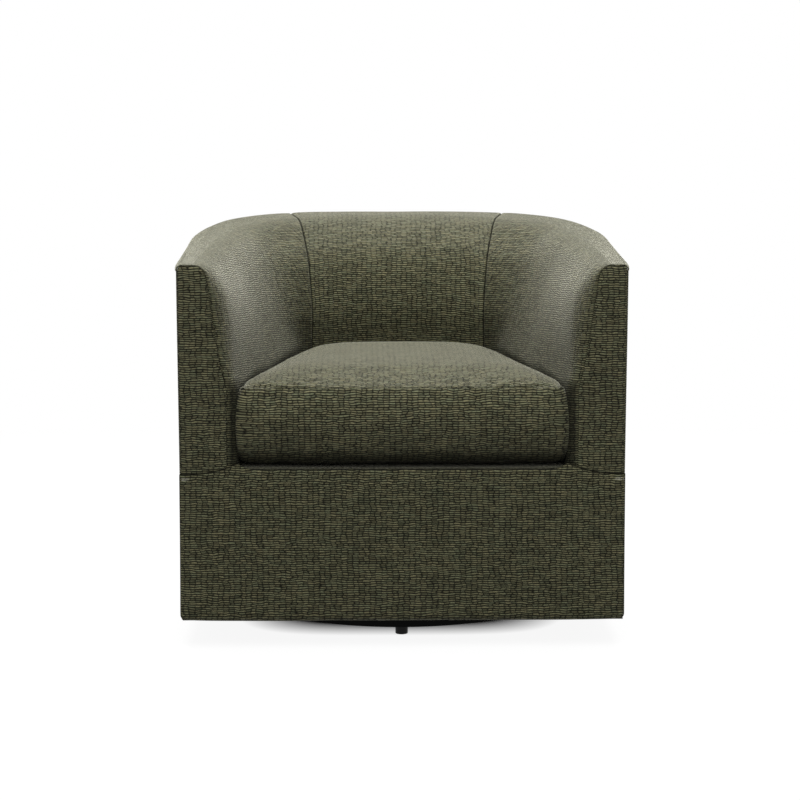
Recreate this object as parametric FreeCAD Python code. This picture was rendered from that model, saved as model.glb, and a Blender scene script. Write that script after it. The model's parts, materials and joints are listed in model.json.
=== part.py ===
# Barrel swivel chair: a loose-cushion armchair on a concealed ring base.
# Millimetres. +Z is up, the chair faces -Y, and the origin is on the floor under the swivel axis.
import FreeCAD, Part
import math
import os

from FreeCAD import Vector

# Overall size of the upholstered body
body_half_width = 395.0
body_front = -400.0
body_back = 400.0
hem_height = 50.0
rim_front_height = 684.0
rim_back_height = 722.0
rim_edge_radius = 9.0

# Outer plan: straight sides, then a side arc, a corner arc and a back arc
straight_side_end = -50.0
outer_side_radius = 938.0
outer_corner_radius = 246.0
outer_back_radius = 1911.0

# Seat well, measured square to the rim: plan at cushion level
arm_width = 102.0
back_depth = 235.0
well_side_angle = 8.2
well_side_radius = 4440.0
well_corner_radius = 98.0
well_back_radius = 360.0
well_straight_top = 461.0

# Seat well: how far the arms and back sweep out up to the rim
arm_flare = 49.0
arm_roll_radius = 22.0
arm_flare_power = 1.5
back_sweep = 177.0
rim_side_angle = 0.4
rim_side_radius = 3725.0
rim_corner_share = 0.79
rim_back_radius = 594.0
sweep_angles = (20.0, 38.0, 54.0, 68.0, 80.0, 90.0)

# Seams of the cloth
arm_back_seam_x = 177.0
arm_back_seam_y = 170.0
arm_back_seam_slope = 0.2
seam_gap = 0.3
top_seam_drop = 13.0
rim_strip_width = 12.0
border_corner_height = 314.0

# Layers, from the outside in
clearance = 0.3
cloth = 2.0
liner = 3.0
frame_board = 22.0
webbing = 2.0
rim_padding = 13.0
liner_rim_gap = 15.0

# Wooden frame
bottom_rail_height = 60.0
front_post_depth = 60.0
rear_post_start = 190.0
rear_post_end = 250.0
top_rail_height = 22.0
seat_rail_bottom = 240.0
seat_rail_top = 300.0
corner_block_leg = 60.0
corner_block_height = 45.0

# Spring deck
spring_wire = 3.8
spring_count = 5
spring_pitch = 90.0
spring_loop_width = 52.0
spring_bends = 16
clip_plate = 1.2
clip_width = 22.0
clip_depth = 16.0
tie_wire = 2.0
tie_wire_half_length = 205.0
tie_wire_places = (-200.0, 20.0)
deck_cloth = 1.0
deck_pad = 14.0
deck_cover = 1.5

# Back webbing
strap_width = 50.0
strap_pitch = 85.0
strap_count = 5
strap_tail = 8.0

# Loose seat cushion
cushion_front_setback = 1.0
cushion_corner_radius = 16.0
cushion_side_clearance = 0.6
cushion_bulge = 3.0
cushion_front_round = 16.0
cushion_front_power = 2.2
cushion_bottom_seam = 9.0
cushion_boxing = 131.0
cushion_crown = 33.0
cushion_bottom_flat_inset = 45.0
cushion_crown_flat_inset = 75.0
cushion_bottom_angles = (90, 50, 20)
cushion_boxing_shares = (0.0, 0.1, 0.3, 0.5, 0.7, 0.9)
cushion_crown_angles = (0, 20, 40, 60, 90)
cushion_cloth = 1.5
zip_length = 320.0
zip_width = 9.0
zip_gap = 0.2

# Swivel board and its cleats
board_thickness = 18.0
board_half_depth = 150.0
board_height = 60.0
board_centre_hole = 25.0
cleat_height = 20.0
cleat_width = 24.0
dust_cloth = 1.2
dust_hole_radius = 150.0

# Swivel bearing
hub_radius = 100.0
hub_plate = 5.0
top_plate = 4.0
top_plate_side = 200.0
race_inner = 55.0
lower_race_outer = 95.0
upper_race_outer = 80.0
race_thickness = 4.5
ball_circle = 67.5
ball_radius = 3.0
ball_count = 24
ball_play = 0.05
cage_thickness = 1.6
cage_half_width = 5.5
cage_play = 0.15
race_screw_circle = 87.0
race_screw_count = 4
race_screw_radius = 2.5
race_screw_head = 4.5
race_screw_head_height = 2.2
swivel_bolt_place = 85.0
swivel_bolt_radius = 4.0
swivel_bolt_head = 7.0
swivel_bolt_head_height = 4.5
bolt_play = 0.3
tee_nut_flange = 11.0
tee_nut_flange_height = 1.5
tee_nut_wall = 1.2
tee_nut_depth = 12.0
bolt_end = 3.0

# Pivot pin
pin_radius = 8.0
pin_play = 0.05
pin_head_radius = 13.0
pin_head_height = 5.0
pin_washer = 1.8
pin_washer_radius = 15.0
pin_nut_height = 8.0
pin_nut_width = 24.0
pin_tail = 1.5

# Ring base
ring_outer = 306.0
ring_width = 26.0
ring_height = 25.0
ring_wall = 2.0
arm_tube_width = 25.0
arm_inner_end = 50.0
weld_gap = 0.3
foot_count = 4
foot_radius = 11.45
foot_height = 14.0
foot_edge = 1.0
foot_socket_depth = 7.0
stem_radius = 4.0
stem_play = 0.05
stem_length = 20.0
glide_nut_width = 13.0
glide_nut_height = 6.0

# Room used only by cutting tools: well past the body, and just past one face
beyond = 60.0
past = 1.0

# Worked out from the sizes above
well_half_width = body_half_width - arm_width
well_back = body_back - back_depth
rim_corner_radius = rim_corner_share * (well_half_width + arm_flare + arm_roll_radius)
rim_tilt = math.degrees(math.atan((rim_back_height - rim_front_height) / (body_back - body_front)))
rim_rise = abs(rim_back_height - rim_front_height)
highest_rim = max(rim_back_height, rim_front_height)
lowest_rim = min(rim_back_height, rim_front_height)
liner_outside = cloth + clearance
frame_outside = liner_outside + liner + clearance
frame_inside = frame_outside + frame_board
inner_face = frame_inside + clearance
pad_outside = inner_face + webbing + clearance
frame_front = body_front + frame_outside
rail_drop = rim_padding + cloth
facing_back = body_front + cloth
layer_front = facing_back + clearance
frame_bottom = hem_height + clearance + dust_cloth + clearance
bottom_rail_top = frame_bottom + bottom_rail_height
spring_axis = seat_rail_top + clip_plate + clearance / 2 + spring_wire / 2
clip_top = spring_axis + spring_wire / 2 + clearance / 2 + clip_plate
pad_bottom = clip_top + clearance
well_bottom = pad_bottom - rim_rise - beyond
deck_pad_bottom = pad_bottom + deck_cloth + clearance
deck_cover_bottom = deck_pad_bottom + deck_pad + clearance
deck_top = deck_cover_bottom + deck_cover
seat_back_rail_y = rear_post_start + clearance
ring_bottom = foot_height
ring_top = ring_bottom + ring_height
ring_centre = ring_outer - ring_width / 2
hub_top = ring_top + hub_plate
top_plate_bottom = board_height - top_plate
upper_race_bottom = top_plate_bottom - race_thickness
lower_race_top = hub_top + race_thickness
ball_height = (upper_race_bottom + lower_race_top) / 2


def box(x0, x1, y0, y1, z0, z1):
    return Part.makeBox(x1 - x0, y1 - y0, z1 - z0, Vector(x0, y0, z0))


def cylinder(radius, z0, z1, x=0.0, y=0.0):
    return Part.makeCylinder(radius, z1 - z0, Vector(x, y, z0))


def ring(outer, inner, z0, z1, x=0.0, y=0.0):
    return cylinder(outer, z0, z1, x, y).cut(cylinder(inner, z0 - past, z1 + past, x, y))


def hexagon(width, z0, z1, x=0.0, y=0.0):
    corner = width / math.sqrt(3)
    points = []
    for side in range(7):
        turn = math.radians(60 * side)
        points.append(Vector(x + corner * math.cos(turn), y + corner * math.sin(turn), z0))
    return Part.Face(Part.makePolygon(points)).extrude(Vector(0, 0, z1 - z0))


def mirrored(shape):
    return shape.mirror(Vector(0, 0, 0), Vector(1, 0, 0))


def both_sides(shape):
    return Part.makeCompound([shape, mirrored(shape)])


def unit(vector):
    return vector / vector.Length


def across(point):
    """The point's mirror image on the other side of the chair."""
    return Vector(-point.x, point.y, point.z)


def arc_points(centre, start, end):
    """The short arc from start to end round a centre, as three points."""
    radius = (start - centre).Length
    middle = centre + unit(unit(start - centre) + unit(end - centre)) * radius
    return [start, middle, end]


def piece_edge(points):
    """A line through two points, or an arc through three."""
    if len(points) == 2:
        return Part.makeLine(points[0], points[1])
    return Part.Arc(points[0], points[1], points[2]).toShape()


class Plan:
    """A horseshoe plan, alike left and right: a straight front, then on each side a straight
    line, a side arc and a corner arc, joined by one back arc. All arcs run on tangent."""

    def __init__(self, half_width, side_start, back, side_angle, side_radius, corner_radius, back_radius):
        lean = math.radians(side_angle)
        self.outward = Vector(math.cos(lean), math.sin(lean), 0)
        self.side_radius = side_radius
        self.corner_radius = corner_radius
        self.back_radius = back_radius
        self.side_centre = Vector(half_width, side_start, 0) - self.outward * side_radius
        self.back_centre = Vector(0, back - back_radius, 0)
        self.corner_centre = self.find_corner_centre()

    def find_corner_centre(self):
        from_side = self.side_radius - self.corner_radius
        from_back = self.back_radius - self.corner_radius
        apart = self.side_centre - self.back_centre
        along = (from_back ** 2 - from_side ** 2 + apart.Length ** 2) / (2 * apart.Length)
        aside = math.sqrt(from_back ** 2 - along ** 2)
        direction = unit(apart)
        sideways = Vector(-direction.y, direction.x, 0)
        choices = [self.back_centre + direction * along + sideways * way * aside for way in (1, -1)]
        return max(choices, key=lambda point: point.x + point.y)

    def tangent_points(self, inset):
        """Where the side arc runs into the corner arc, and the corner arc into the back arc."""
        side_end = (self.side_centre
                    + unit(self.corner_centre - self.side_centre) * (self.side_radius - inset))
        corner_end = (self.back_centre
                      + unit(self.corner_centre - self.back_centre) * (self.back_radius - inset))
        return side_end, corner_end

    def closed_wire(self, front_piece, inset, z):
        """Joins the front, the right-hand pieces, the back arc and the left-hand pieces. A piece
        is a list of two points for a line, or three for an arc."""
        side_end, corner_end = self.tangent_points(inset)
        back_middle = self.back_centre + Vector(0, self.back_radius - inset, 0)
        right = [
            front_piece,
            arc_points(self.side_centre, front_piece[-1], side_end),
            arc_points(self.corner_centre, side_end, corner_end),
        ]
        first = front_piece[0]
        left = [[across(point) for point in reversed(piece)] for piece in reversed(right)]
        pieces = [[across(first), first]] + right + [[corner_end, back_middle, across(corner_end)]] + left
        wire = Part.Wire([piece_edge(piece) for piece in pieces])
        wire.translate(Vector(0, 0, z))
        return wire

    def wire(self, inset, z, front):
        """The outline moved in by inset, at height z, with its straight front at y = front."""
        start = self.side_centre + self.outward * (self.side_radius - inset)
        run = (start.y - front) / self.outward.x
        front_corner = Vector(start.x + run * self.outward.y, front, 0)
        return self.closed_wire([front_corner, start], inset, z)

    def rounded_wire(self, inset, z, front, radius):
        """As wire, but the side arc starts at a rounded front corner, with no straight line."""
        side = self.side_radius - inset
        rise = front + radius - self.side_centre.y
        centre = Vector(self.side_centre.x + math.sqrt((side - radius) ** 2 - rise ** 2),
                        front + radius, 0)
        corner_start = Vector(centre.x, front, 0)
        corner_end = self.side_centre + unit(centre - self.side_centre) * side
        return self.closed_wire(arc_points(centre, corner_start, corner_end), inset, z)

    def prism(self, inset, z0, z1, front):
        return Part.Face(self.wire(inset, z0, front)).extrude(Vector(0, 0, z1 - z0))


outer_plan = Plan(body_half_width, straight_side_end, body_back, 0.0,
                  outer_side_radius, outer_corner_radius, outer_back_radius)


def tilt_with_rim(shape):
    """Turns a shape built square to the rim about the front end of the rim."""
    shape.rotate(Vector(0, body_front, rim_front_height), Vector(1, 0, 0), rim_tilt)
    return shape


def above_rim(drop):
    """Everything above a plane that lies drop below the sloping rim."""
    return tilt_with_rim(box(-body_half_width - beyond, body_half_width + beyond,
                             body_front - beyond, body_back + beyond,
                             rim_front_height - drop, rim_front_height + rim_rise + 2 * beyond))


def outer_prism(inset, z0, drop, front=None):
    """The outer plan from z0 up to the plane that lies drop below the rim."""
    if front is None:
        front = body_front + inset
    return outer_plan.prism(inset, z0, highest_rim + beyond, front).cut(above_rim(drop))


def outer_hull(inset):
    """The whole body block moved in by inset, with its top edge rounded except at the front."""
    block = outer_prism(inset, hem_height, inset, body_front)
    top_face = max(block.Faces, key=lambda face: face.CenterOfMass.z)
    edges = [edge for edge in top_face.OuterWire.Edges if edge.CenterOfMass.y > body_front + past]
    return block.makeFillet(rim_edge_radius - inset, edges)


def band(z0, z1):
    """The course of the frame boards round the body between two levels."""
    front = body_front + frame_outside
    outside = outer_plan.prism(frame_outside, z0, z1, front)
    return outside.cut(outer_plan.prism(frame_inside, z0 - past, z1 + past, front + frame_board))


def swept_plan(sweep_angle):
    """The seat well's plan where its profile has swept out by this angle."""
    turn = math.radians(sweep_angle)
    depth = 1 - math.sin(turn)
    share = 1 - math.cos(turn)
    depth_below_rim = depth * (rim_front_height - well_straight_top)
    half_width = well_half_width + arm_flare * (1 - depth ** arm_flare_power)
    if depth_below_rim < arm_roll_radius:
        rolled = 1 - depth_below_rim / arm_roll_radius
        half_width += arm_roll_radius * (1 - math.sqrt(1 - rolled ** 2))
    return Plan(half_width, body_front, well_back + back_sweep * share,
                well_side_angle + (rim_side_angle - well_side_angle) * share,
                well_side_radius + (rim_side_radius - well_side_radius) * share,
                well_corner_radius + (rim_corner_radius - well_corner_radius) * share,
                well_back_radius + (rim_back_radius - well_back_radius) * share)


def profile_lean(sweep_angle):
    """How far the profile of the back faces up at this angle, as a sine."""
    turn = math.radians(sweep_angle)
    rise = (rim_front_height - well_straight_top) * math.cos(turn)
    run = back_sweep * math.sin(turn)
    return run / math.hypot(run, rise)


def seat_well_foot(offset):
    """The straight foot of the seat well, round the cushion, grown by offset."""
    return tilt_with_rim(swept_plan(0.0).prism(-offset, well_bottom, well_straight_top,
                                               body_front - beyond))


def seat_well(offset):
    """The open space between the arms, grown by offset into the upholstery: its straight foot,
    the part that sweeps out to the rim, and everything above the rim."""
    front = body_front - beyond
    straight = swept_plan(0.0)
    sections = [straight.wire(-offset, well_straight_top, front)]
    for sweep_angle in sweep_angles:
        lean = profile_lean(sweep_angle)
        rise = (rim_front_height - well_straight_top) * math.sin(math.radians(sweep_angle))
        level = well_straight_top + rise - offset * lean
        inset = -offset * math.sqrt(max(0.0, 1 - lean ** 2))
        sections.append(swept_plan(sweep_angle).wire(inset, level, front))
    swept = tilt_with_rim(Part.makeLoft(sections, True, False))
    return [seat_well_foot(offset), swept, above_rim(offset)]


def carve(shape, tools):
    """Cuts one tool after another, so that tools may share a face."""
    for tool in tools:
        shape = shape.cut(tool)
    return shape


def back_wedge(grow):
    """The sector of the plan that belongs to the back, between the two arm seams."""
    def seam_x(y):
        return arm_back_seam_x + arm_back_seam_slope * (y - arm_back_seam_y) + grow
    near = 0.0
    far = body_back + beyond
    corners = [(seam_x(near), near), (seam_x(far), far), (-seam_x(far), far), (-seam_x(near), near)]
    points = [Vector(x, y, 0) for x, y in corners + corners[:1]]
    return Part.Face(Part.makePolygon(points)).extrude(Vector(0, 0, highest_rim + beyond))


def left_half():
    reach = body_half_width + beyond
    return box(-reach, 0, body_front - beyond, body_back + beyond, 0, highest_rim + beyond)


def behind(y):
    reach = body_half_width + beyond
    return box(-reach, reach, y, body_back + beyond, 0, highest_rim + beyond)


def split_at_seams(shape):
    """Left, right and back pieces of a layer that runs round the chair."""
    back = shape.common(back_wedge(-seam_gap / 2))
    left = shape.common(left_half()).cut(back_wedge(seam_gap / 2))
    return left, mirrored(left), back


def below_front_seam(lift, back):
    """The front of the chair up to lift above the seam between border and facings, as deep as
    y = back."""
    low = hem_height
    points = [
        Vector(-body_half_width, body_front, low),
        Vector(body_half_width, body_front, low),
        Vector(body_half_width, body_front, border_corner_height + lift),
        Vector(well_half_width, body_front, deck_top + lift),
        Vector(-well_half_width, body_front, deck_top + lift),
        Vector(-body_half_width, body_front, border_corner_height + lift),
    ]
    return Part.Face(Part.makePolygon(points + points[:1])).extrude(Vector(0, back - body_front, 0))


# Upholstered body

def make_outside_covers():
    """The outside cloth, from the hem up to a seam just below the rounded rim."""
    shell = outer_prism(0.0, hem_height, top_seam_drop + seam_gap, layer_front)
    inside = outer_prism(cloth, 0, 0.0, body_front - beyond)
    return split_at_seams(shell.cut(inside))


def make_rim_edge(hull, inner_hull):
    """The rounded strip of the inside cloth that turns over the rim to the outside seam."""
    strip = hull.cut(inner_hull).common(above_rim(top_seam_drop))
    strip = strip.cut(outer_plan.prism(rim_strip_width, 0, highest_rim + beyond, body_front - beyond))
    return strip.common(behind(layer_front))


def make_inside_covers(rim_edge, well, well_grown):
    """The inside cloth, which runs on over the rim."""
    envelope = outer_prism(rim_strip_width, pad_bottom, 0.0, layer_front)
    shell = carve(envelope, well).cut(carve(envelope, well_grown))
    shell = shell.cut(below_front_seam(seam_gap, frame_front - clearance))
    left, _, back = split_at_seams(shell)
    left_edge, _, back_edge = split_at_seams(rim_edge)
    left = left.fuse(left_edge)
    return left, mirrored(left), back.fuse(back_edge)


def make_inside_pads(well_pad, hull):
    lower = outer_prism(pad_outside, pad_bottom, 0.0, frame_front)
    rim_cap = outer_prism(frame_outside, pad_bottom, 0.0, frame_front)
    rim_cap = rim_cap.common(above_rim(rail_drop - clearance))
    return split_at_seams(carve(lower.fuse(rim_cap).common(hull), well_pad))


def make_facings(well, hull):
    slab = hull.cut(behind(facing_back))
    slab = slab.cut(below_front_seam(seam_gap, frame_front))
    slab = carve(slab, well)
    left = slab.common(left_half())
    return left, mirrored(left)


def make_facing_pads(well_pad, hull):
    block = hull.common(behind(layer_front)).cut(behind(frame_front - clearance))
    return carve(block.cut(below_front_seam(seam_gap, frame_front)), well_pad)


def make_front_border():
    return below_front_seam(0.0, facing_back)


def make_front_pad():
    block = below_front_seam(-clearance, frame_front - clearance)
    keep = outer_plan.prism(liner_outside, frame_bottom, rim_front_height, layer_front)
    return block.common(keep)


def make_barrel_liner():
    outside = outer_prism(liner_outside, frame_bottom, liner_rim_gap, frame_front)
    inside = outer_prism(liner_outside + liner, 0, 0.0, body_front - beyond)
    return outside.cut(inside)


def make_dust_cover():
    sheet = outer_plan.prism(liner_outside, hem_height + clearance, hem_height + clearance + dust_cloth,
                             layer_front)
    return sheet.cut(cylinder(dust_hole_radius, 0, board_height))


# Wooden frame

def rail_split(course, front_end, back_start):
    """Front, side and back boards of one course of the frame."""
    reach = body_half_width - inner_face
    front = course.common(box(-reach, reach, body_front, front_end, 0, highest_rim))
    side = course.cut(behind(back_start - clearance))
    side = side.cut(box(-reach - clearance, reach + clearance, body_front, front_end + past,
                        0, highest_rim))
    back = course.common(behind(back_start))
    return front, side, back


def make_bottom_rails():
    course = band(frame_bottom, bottom_rail_top)
    return rail_split(course, frame_front + frame_board, rear_post_end)


def make_top_rails():
    course = band(lowest_rim - beyond, highest_rim)
    course = course.cut(above_rim(rail_drop))
    course = course.common(above_rim(rail_drop + top_rail_height))
    return rail_split(course, frame_front + frame_board, rear_post_end)[1:]


def make_posts():
    course = band(bottom_rail_top + clearance, highest_rim)
    course = course.cut(above_rim(rail_drop + top_rail_height + clearance))
    reach = body_half_width + beyond
    front_zone = box(body_half_width - frame_inside, reach, frame_front, frame_front + front_post_depth,
                     0, highest_rim)
    rear_zone = box(0, reach, rear_post_start, rear_post_end, 0, highest_rim)
    return both_sides(course.common(front_zone)), both_sides(course.common(rear_zone))


def make_back_mid_rail():
    return band(seat_rail_bottom, seat_rail_top).common(behind(rear_post_end + clearance))


def make_seat_front_rail():
    reach = body_half_width - inner_face
    return box(-reach, reach, frame_front, frame_front + frame_board, seat_rail_bottom, seat_rail_top)


def make_seat_side_rails():
    start = frame_front + frame_board + clearance
    outside = outer_plan.prism(inner_face, seat_rail_bottom, seat_rail_top, start)
    inside = outer_plan.prism(inner_face + frame_board, 0, rim_front_height, body_front)
    end = seat_back_rail_y - clearance
    course = outside.cut(inside).cut(behind(end))
    return course.cut(box(-body_half_width + inner_face + frame_board,
                          body_half_width - inner_face - frame_board,
                          body_front, end, 0, rim_front_height))


def make_seat_back_rail():
    limit = outer_plan.prism(inner_face, seat_rail_bottom, seat_rail_top, body_front)
    reach = body_half_width
    return limit.common(box(-reach, reach, seat_back_rail_y, seat_back_rail_y + frame_board,
                            seat_rail_bottom, seat_rail_top))


def make_corner_blocks():
    """Glue blocks in the front corners of the bottom rails and of the seat rails."""
    blocks = []
    corner_y = frame_front + frame_board + clearance
    places = (
        (body_half_width - inner_face - clearance, bottom_rail_top - corner_block_height),
        (body_half_width - inner_face - frame_board - clearance, seat_rail_top - corner_block_height),
    )
    for corner_x, bottom in places:
        points = [
            Vector(corner_x, corner_y, bottom),
            Vector(corner_x - corner_block_leg, corner_y, bottom),
            Vector(corner_x, corner_y + corner_block_leg, bottom),
        ]
        face = Part.Face(Part.makePolygon(points + points[:1]))
        block = face.extrude(Vector(0, 0, corner_block_height))
        blocks += [block, mirrored(block)]
    return Part.makeCompound(blocks)


# Spring deck

def make_spring(y0, y1):
    """One flat serpentine of wire at x = 0: half-round bends joined by straight runs across."""
    pitch = (y1 - y0) / spring_bends
    bend = pitch / 2
    half = spring_loop_width / 2 - bend
    up = Vector(0, 0, 1)
    pieces = []
    for run in range(spring_bends + 1):
        start = Vector(-half, y0 + run * pitch, spring_axis)
        pieces.append(Part.makeCylinder(spring_wire / 2, 2 * half, start, Vector(1, 0, 0)))
    for turn in range(spring_bends):
        side = 1 if turn % 2 == 0 else -1
        centre = Vector(side * half, y0 + (turn + 0.5) * pitch, spring_axis)
        arc = Part.makeTorus(bend, spring_wire / 2, centre, up, -180, 180, 180)
        arc.rotate(centre, up, -90 * side)
        pieces.append(arc)
    return pieces[0].fuse(pieces[1:])


def spring_rows():
    first = -(spring_count - 1) / 2
    return [(first + row) * spring_pitch for row in range(spring_count)]


def spring_ends():
    front = frame_front + frame_board / 2
    back = seat_back_rail_y + frame_board / 2
    return front, back


def make_springs():
    spring = make_spring(*spring_ends())
    return Part.makeCompound([spring.translated(Vector(x, 0, 0)) for x in spring_rows()])


def make_spring_clips():
    clips = []
    room = spring_wire + clearance
    for x in spring_rows():
        for y, way in zip(spring_ends(), (-1, 1)):
            block = box(x - clip_width / 2, x + clip_width / 2, y - clip_depth / 2, y + clip_depth / 2,
                        seat_rail_top, clip_top)
            open_end = y - way * beyond
            closed_end = y + way * room / 2
            slot = box(x - clip_width, x + clip_width, min(open_end, closed_end),
                       max(open_end, closed_end), spring_axis - room / 2, spring_axis + room / 2)
            clips.append(block.cut(slot))
    return Part.makeCompound(clips)


def make_tie_wires():
    wires = []
    level = spring_axis - spring_wire / 2 - clearance / 2 - tie_wire / 2
    for y in tie_wire_places:
        wires.append(Part.makeCylinder(tie_wire / 2, 2 * tie_wire_half_length,
                                       Vector(-tie_wire_half_length, y, level), Vector(1, 0, 0)))
    return Part.makeCompound(wires)


def make_deck_layers(well_foot):
    layers = []
    reach = body_half_width
    for bottom, thickness in ((pad_bottom, deck_cloth), (deck_pad_bottom, deck_pad),
                              (deck_cover_bottom, deck_cover)):
        slab = box(-reach, reach, frame_front, body_back, bottom, bottom + thickness)
        layers.append(slab.common(well_foot))
    return layers


def make_back_webbing():
    """Straps up the back, fixed to the back mid rail and the back top rail."""
    low = seat_rail_bottom + strap_tail
    outside = outer_prism(inner_face, low, rail_drop + strap_tail)
    sheet = outside.cut(outer_prism(inner_face + webbing, low - past, 0.0))
    straps = []
    first = -(strap_count - 1) / 2
    for strap in range(strap_count):
        x = (first + strap) * strap_pitch
        zone = box(x - strap_width / 2, x + strap_width / 2, rear_post_end, body_back, 0, highest_rim)
        straps.append(sheet.common(zone))
    return Part.makeCompound(straps)


# Loose seat cushion

def cushion_plan():
    """The seat well's plan where the back leans in closest to the cushion: with the rim rising to
    the back, at the upper seam."""
    near = cushion_seams()[0 if rim_tilt < 0 else 1]
    moved = (rim_front_height - near) * math.sin(math.radians(rim_tilt))
    inset = cushion_side_clearance + cushion_bulge
    well = swept_plan(0.0)
    lean = math.radians(well_side_angle)
    return Plan(well_half_width - inset * math.cos(lean), body_front + moved - inset * math.sin(lean),
                well_back + moved - inset, well_side_angle, well.side_radius - inset,
                well.corner_radius - inset, well.back_radius - inset)


def cushion_seams():
    """Heights of the seams below and above the boxing."""
    low_seam = deck_top + clearance + cushion_bottom_seam
    return low_seam, low_seam + cushion_boxing


def cushion_levels():
    """Height, inset and further inset of the front of each section, from the flat bottom through
    the drawn-in seams and the full boxing between them to the crown. Bottom and crown follow
    quarter ellipses. The front, which nothing holds, rounds out between its seams."""
    low_seam, high_seam = cushion_seams()
    levels = []
    for turn in cushion_bottom_angles:
        rise = cushion_bottom_seam * math.sin(math.radians(turn))
        inset = cushion_bottom_flat_inset * (1 - math.cos(math.radians(turn)))
        levels.append((low_seam - rise, inset, cushion_front_round))
    for share in cushion_boxing_shares:
        bulge = cushion_bulge * math.sin(math.pi * share)
        front_inset = cushion_front_round * abs(2 * share - 1) ** cushion_front_power
        levels.append((low_seam + cushion_boxing * share, -bulge, front_inset))
    for turn in cushion_crown_angles:
        rise = cushion_crown * math.sin(math.radians(turn))
        inset = cushion_crown_flat_inset * (1 - math.cos(math.radians(turn)))
        levels.append((high_seam + rise, inset, cushion_front_round))
    return levels


def cushion_body(shrink):
    """The cushion's whole shape, made smaller by shrink all round."""
    plan = cushion_plan()
    levels = cushion_levels()
    middle = (levels[0][0] + levels[-1][0]) / 2
    half = levels[-1][0] - middle
    sections = []
    for z, inset, front_inset in levels:
        z_moved = middle + (z - middle) * (half - shrink) / half
        front = body_front + cushion_front_setback + cushion_bulge + front_inset + inset + shrink
        sections.append(plan.rounded_wire(inset + shrink, z_moved, front, cushion_corner_radius))
    return Part.makeLoft(sections, True, True)


def make_cushion():
    whole = cushion_body(0.0)
    inside = cushion_body(cushion_cloth)
    core = cushion_body(cushion_cloth + clearance)
    skin = whole.cut(inside)
    low_seam, high_seam = cushion_seams()
    reach = body_half_width

    def zone(z0, z1):
        return box(-reach, reach, body_front, body_back, z0, z1)

    bottom = skin.common(zone(hem_height, low_seam - seam_gap / 2))
    boxing = skin.common(zone(low_seam + seam_gap / 2, high_seam - seam_gap / 2))
    top = skin.common(zone(high_seam + seam_gap / 2, highest_rim))
    zip_middle = (low_seam + high_seam) / 2

    def zip_zone(gap):
        return box(-zip_length / 2 - gap, zip_length / 2 + gap, 0, body_back,
                   zip_middle - zip_width / 2 - gap, zip_middle + zip_width / 2 + gap)

    closure = boxing.common(zip_zone(0.0))
    boxing = boxing.cut(zip_zone(zip_gap))
    return core, top, bottom, boxing, closure


# Swivel board and its fixings

def corner_bolts(maker):
    shapes = []
    for x in (-swivel_bolt_place, swivel_bolt_place):
        for y in (-swivel_bolt_place, swivel_bolt_place):
            shapes.append(maker(x, y))
    return Part.makeCompound(shapes)


def make_swivel_board():
    limit = outer_plan.prism(inner_face, board_height, board_height + board_thickness, body_front)
    board = limit.common(box(-body_half_width, body_half_width, -board_half_depth, board_half_depth,
                             0, rim_front_height))
    board = board.cut(cylinder(board_centre_hole, 0, rim_front_height))
    barrel = swivel_bolt_radius + bolt_play + tee_nut_wall + clearance
    return board.cut(corner_bolts(lambda x, y: cylinder(barrel, 0, rim_front_height, x, y)))


def make_board_cleats():
    low = board_height + board_thickness + clearance
    outside = outer_plan.prism(inner_face, low, low + cleat_height, body_front)
    inside = outer_plan.prism(inner_face + cleat_width, 0, rim_front_height, body_front - beyond)
    strip = outside.cut(inside)
    zone = box(body_half_width / 2, body_half_width, -board_half_depth, board_half_depth,
               0, rim_front_height)
    return both_sides(strip.common(zone))


def make_top_plate():
    half = top_plate_side / 2
    plate = box(-half, half, -half, half, top_plate_bottom, board_height)
    plate = plate.cut(cylinder(pin_radius + pin_play, 0, rim_front_height))
    hole = swivel_bolt_radius + bolt_play
    return plate.cut(corner_bolts(lambda x, y: cylinder(hole, 0, rim_front_height, x, y)))


def make_swivel_bolts():
    top = board_height + board_thickness + tee_nut_flange_height + bolt_end

    def bolt(x, y):
        head = hexagon(2 * swivel_bolt_head, top_plate_bottom - swivel_bolt_head_height,
                       top_plate_bottom, x, y)
        return head.fuse(cylinder(swivel_bolt_radius, top_plate_bottom - past, top, x, y))
    return corner_bolts(bolt)


def make_tee_nuts():
    board_top = board_height + board_thickness
    bore = swivel_bolt_radius + bolt_play

    def nut(x, y):
        flange = ring(tee_nut_flange, bore, board_top, board_top + tee_nut_flange_height, x, y)
        barrel = ring(bore + tee_nut_wall, bore, board_top - tee_nut_depth,
                      board_top + tee_nut_flange_height, x, y)
        return flange.fuse(barrel)
    return corner_bolts(nut)


# Swivel bearing

def ball_groove():
    return Part.makeTorus(ball_circle, ball_radius + ball_play, Vector(0, 0, ball_height))


def round_of(count, circle, maker):
    shapes = []
    for place in range(count):
        turn = 2 * math.pi * place / count
        shapes.append(maker(circle * math.cos(turn), circle * math.sin(turn)))
    return Part.makeCompound(shapes)


def at_race_screws(maker):
    return round_of(race_screw_count, race_screw_circle, maker)


def make_upper_race():
    return ring(upper_race_outer, race_inner, upper_race_bottom, top_plate_bottom).cut(ball_groove())


def make_lower_race():
    race = ring(lower_race_outer, race_inner, hub_top, lower_race_top).cut(ball_groove())
    hole = race_screw_radius + stem_play
    return race.cut(at_race_screws(lambda x, y: cylinder(hole, 0, board_height, x, y)))


def make_balls():
    return round_of(ball_count, ball_circle,
                    lambda x, y: Part.makeSphere(ball_radius, Vector(x, y, ball_height)))


def make_ball_cage():
    low = ball_height - cage_thickness / 2
    cage = ring(ball_circle + cage_half_width, ball_circle - cage_half_width, low, low + cage_thickness)
    hole = ball_radius + cage_play
    return cage.cut(round_of(ball_count, ball_circle,
                             lambda x, y: cylinder(hole, 0, board_height, x, y)))


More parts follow.
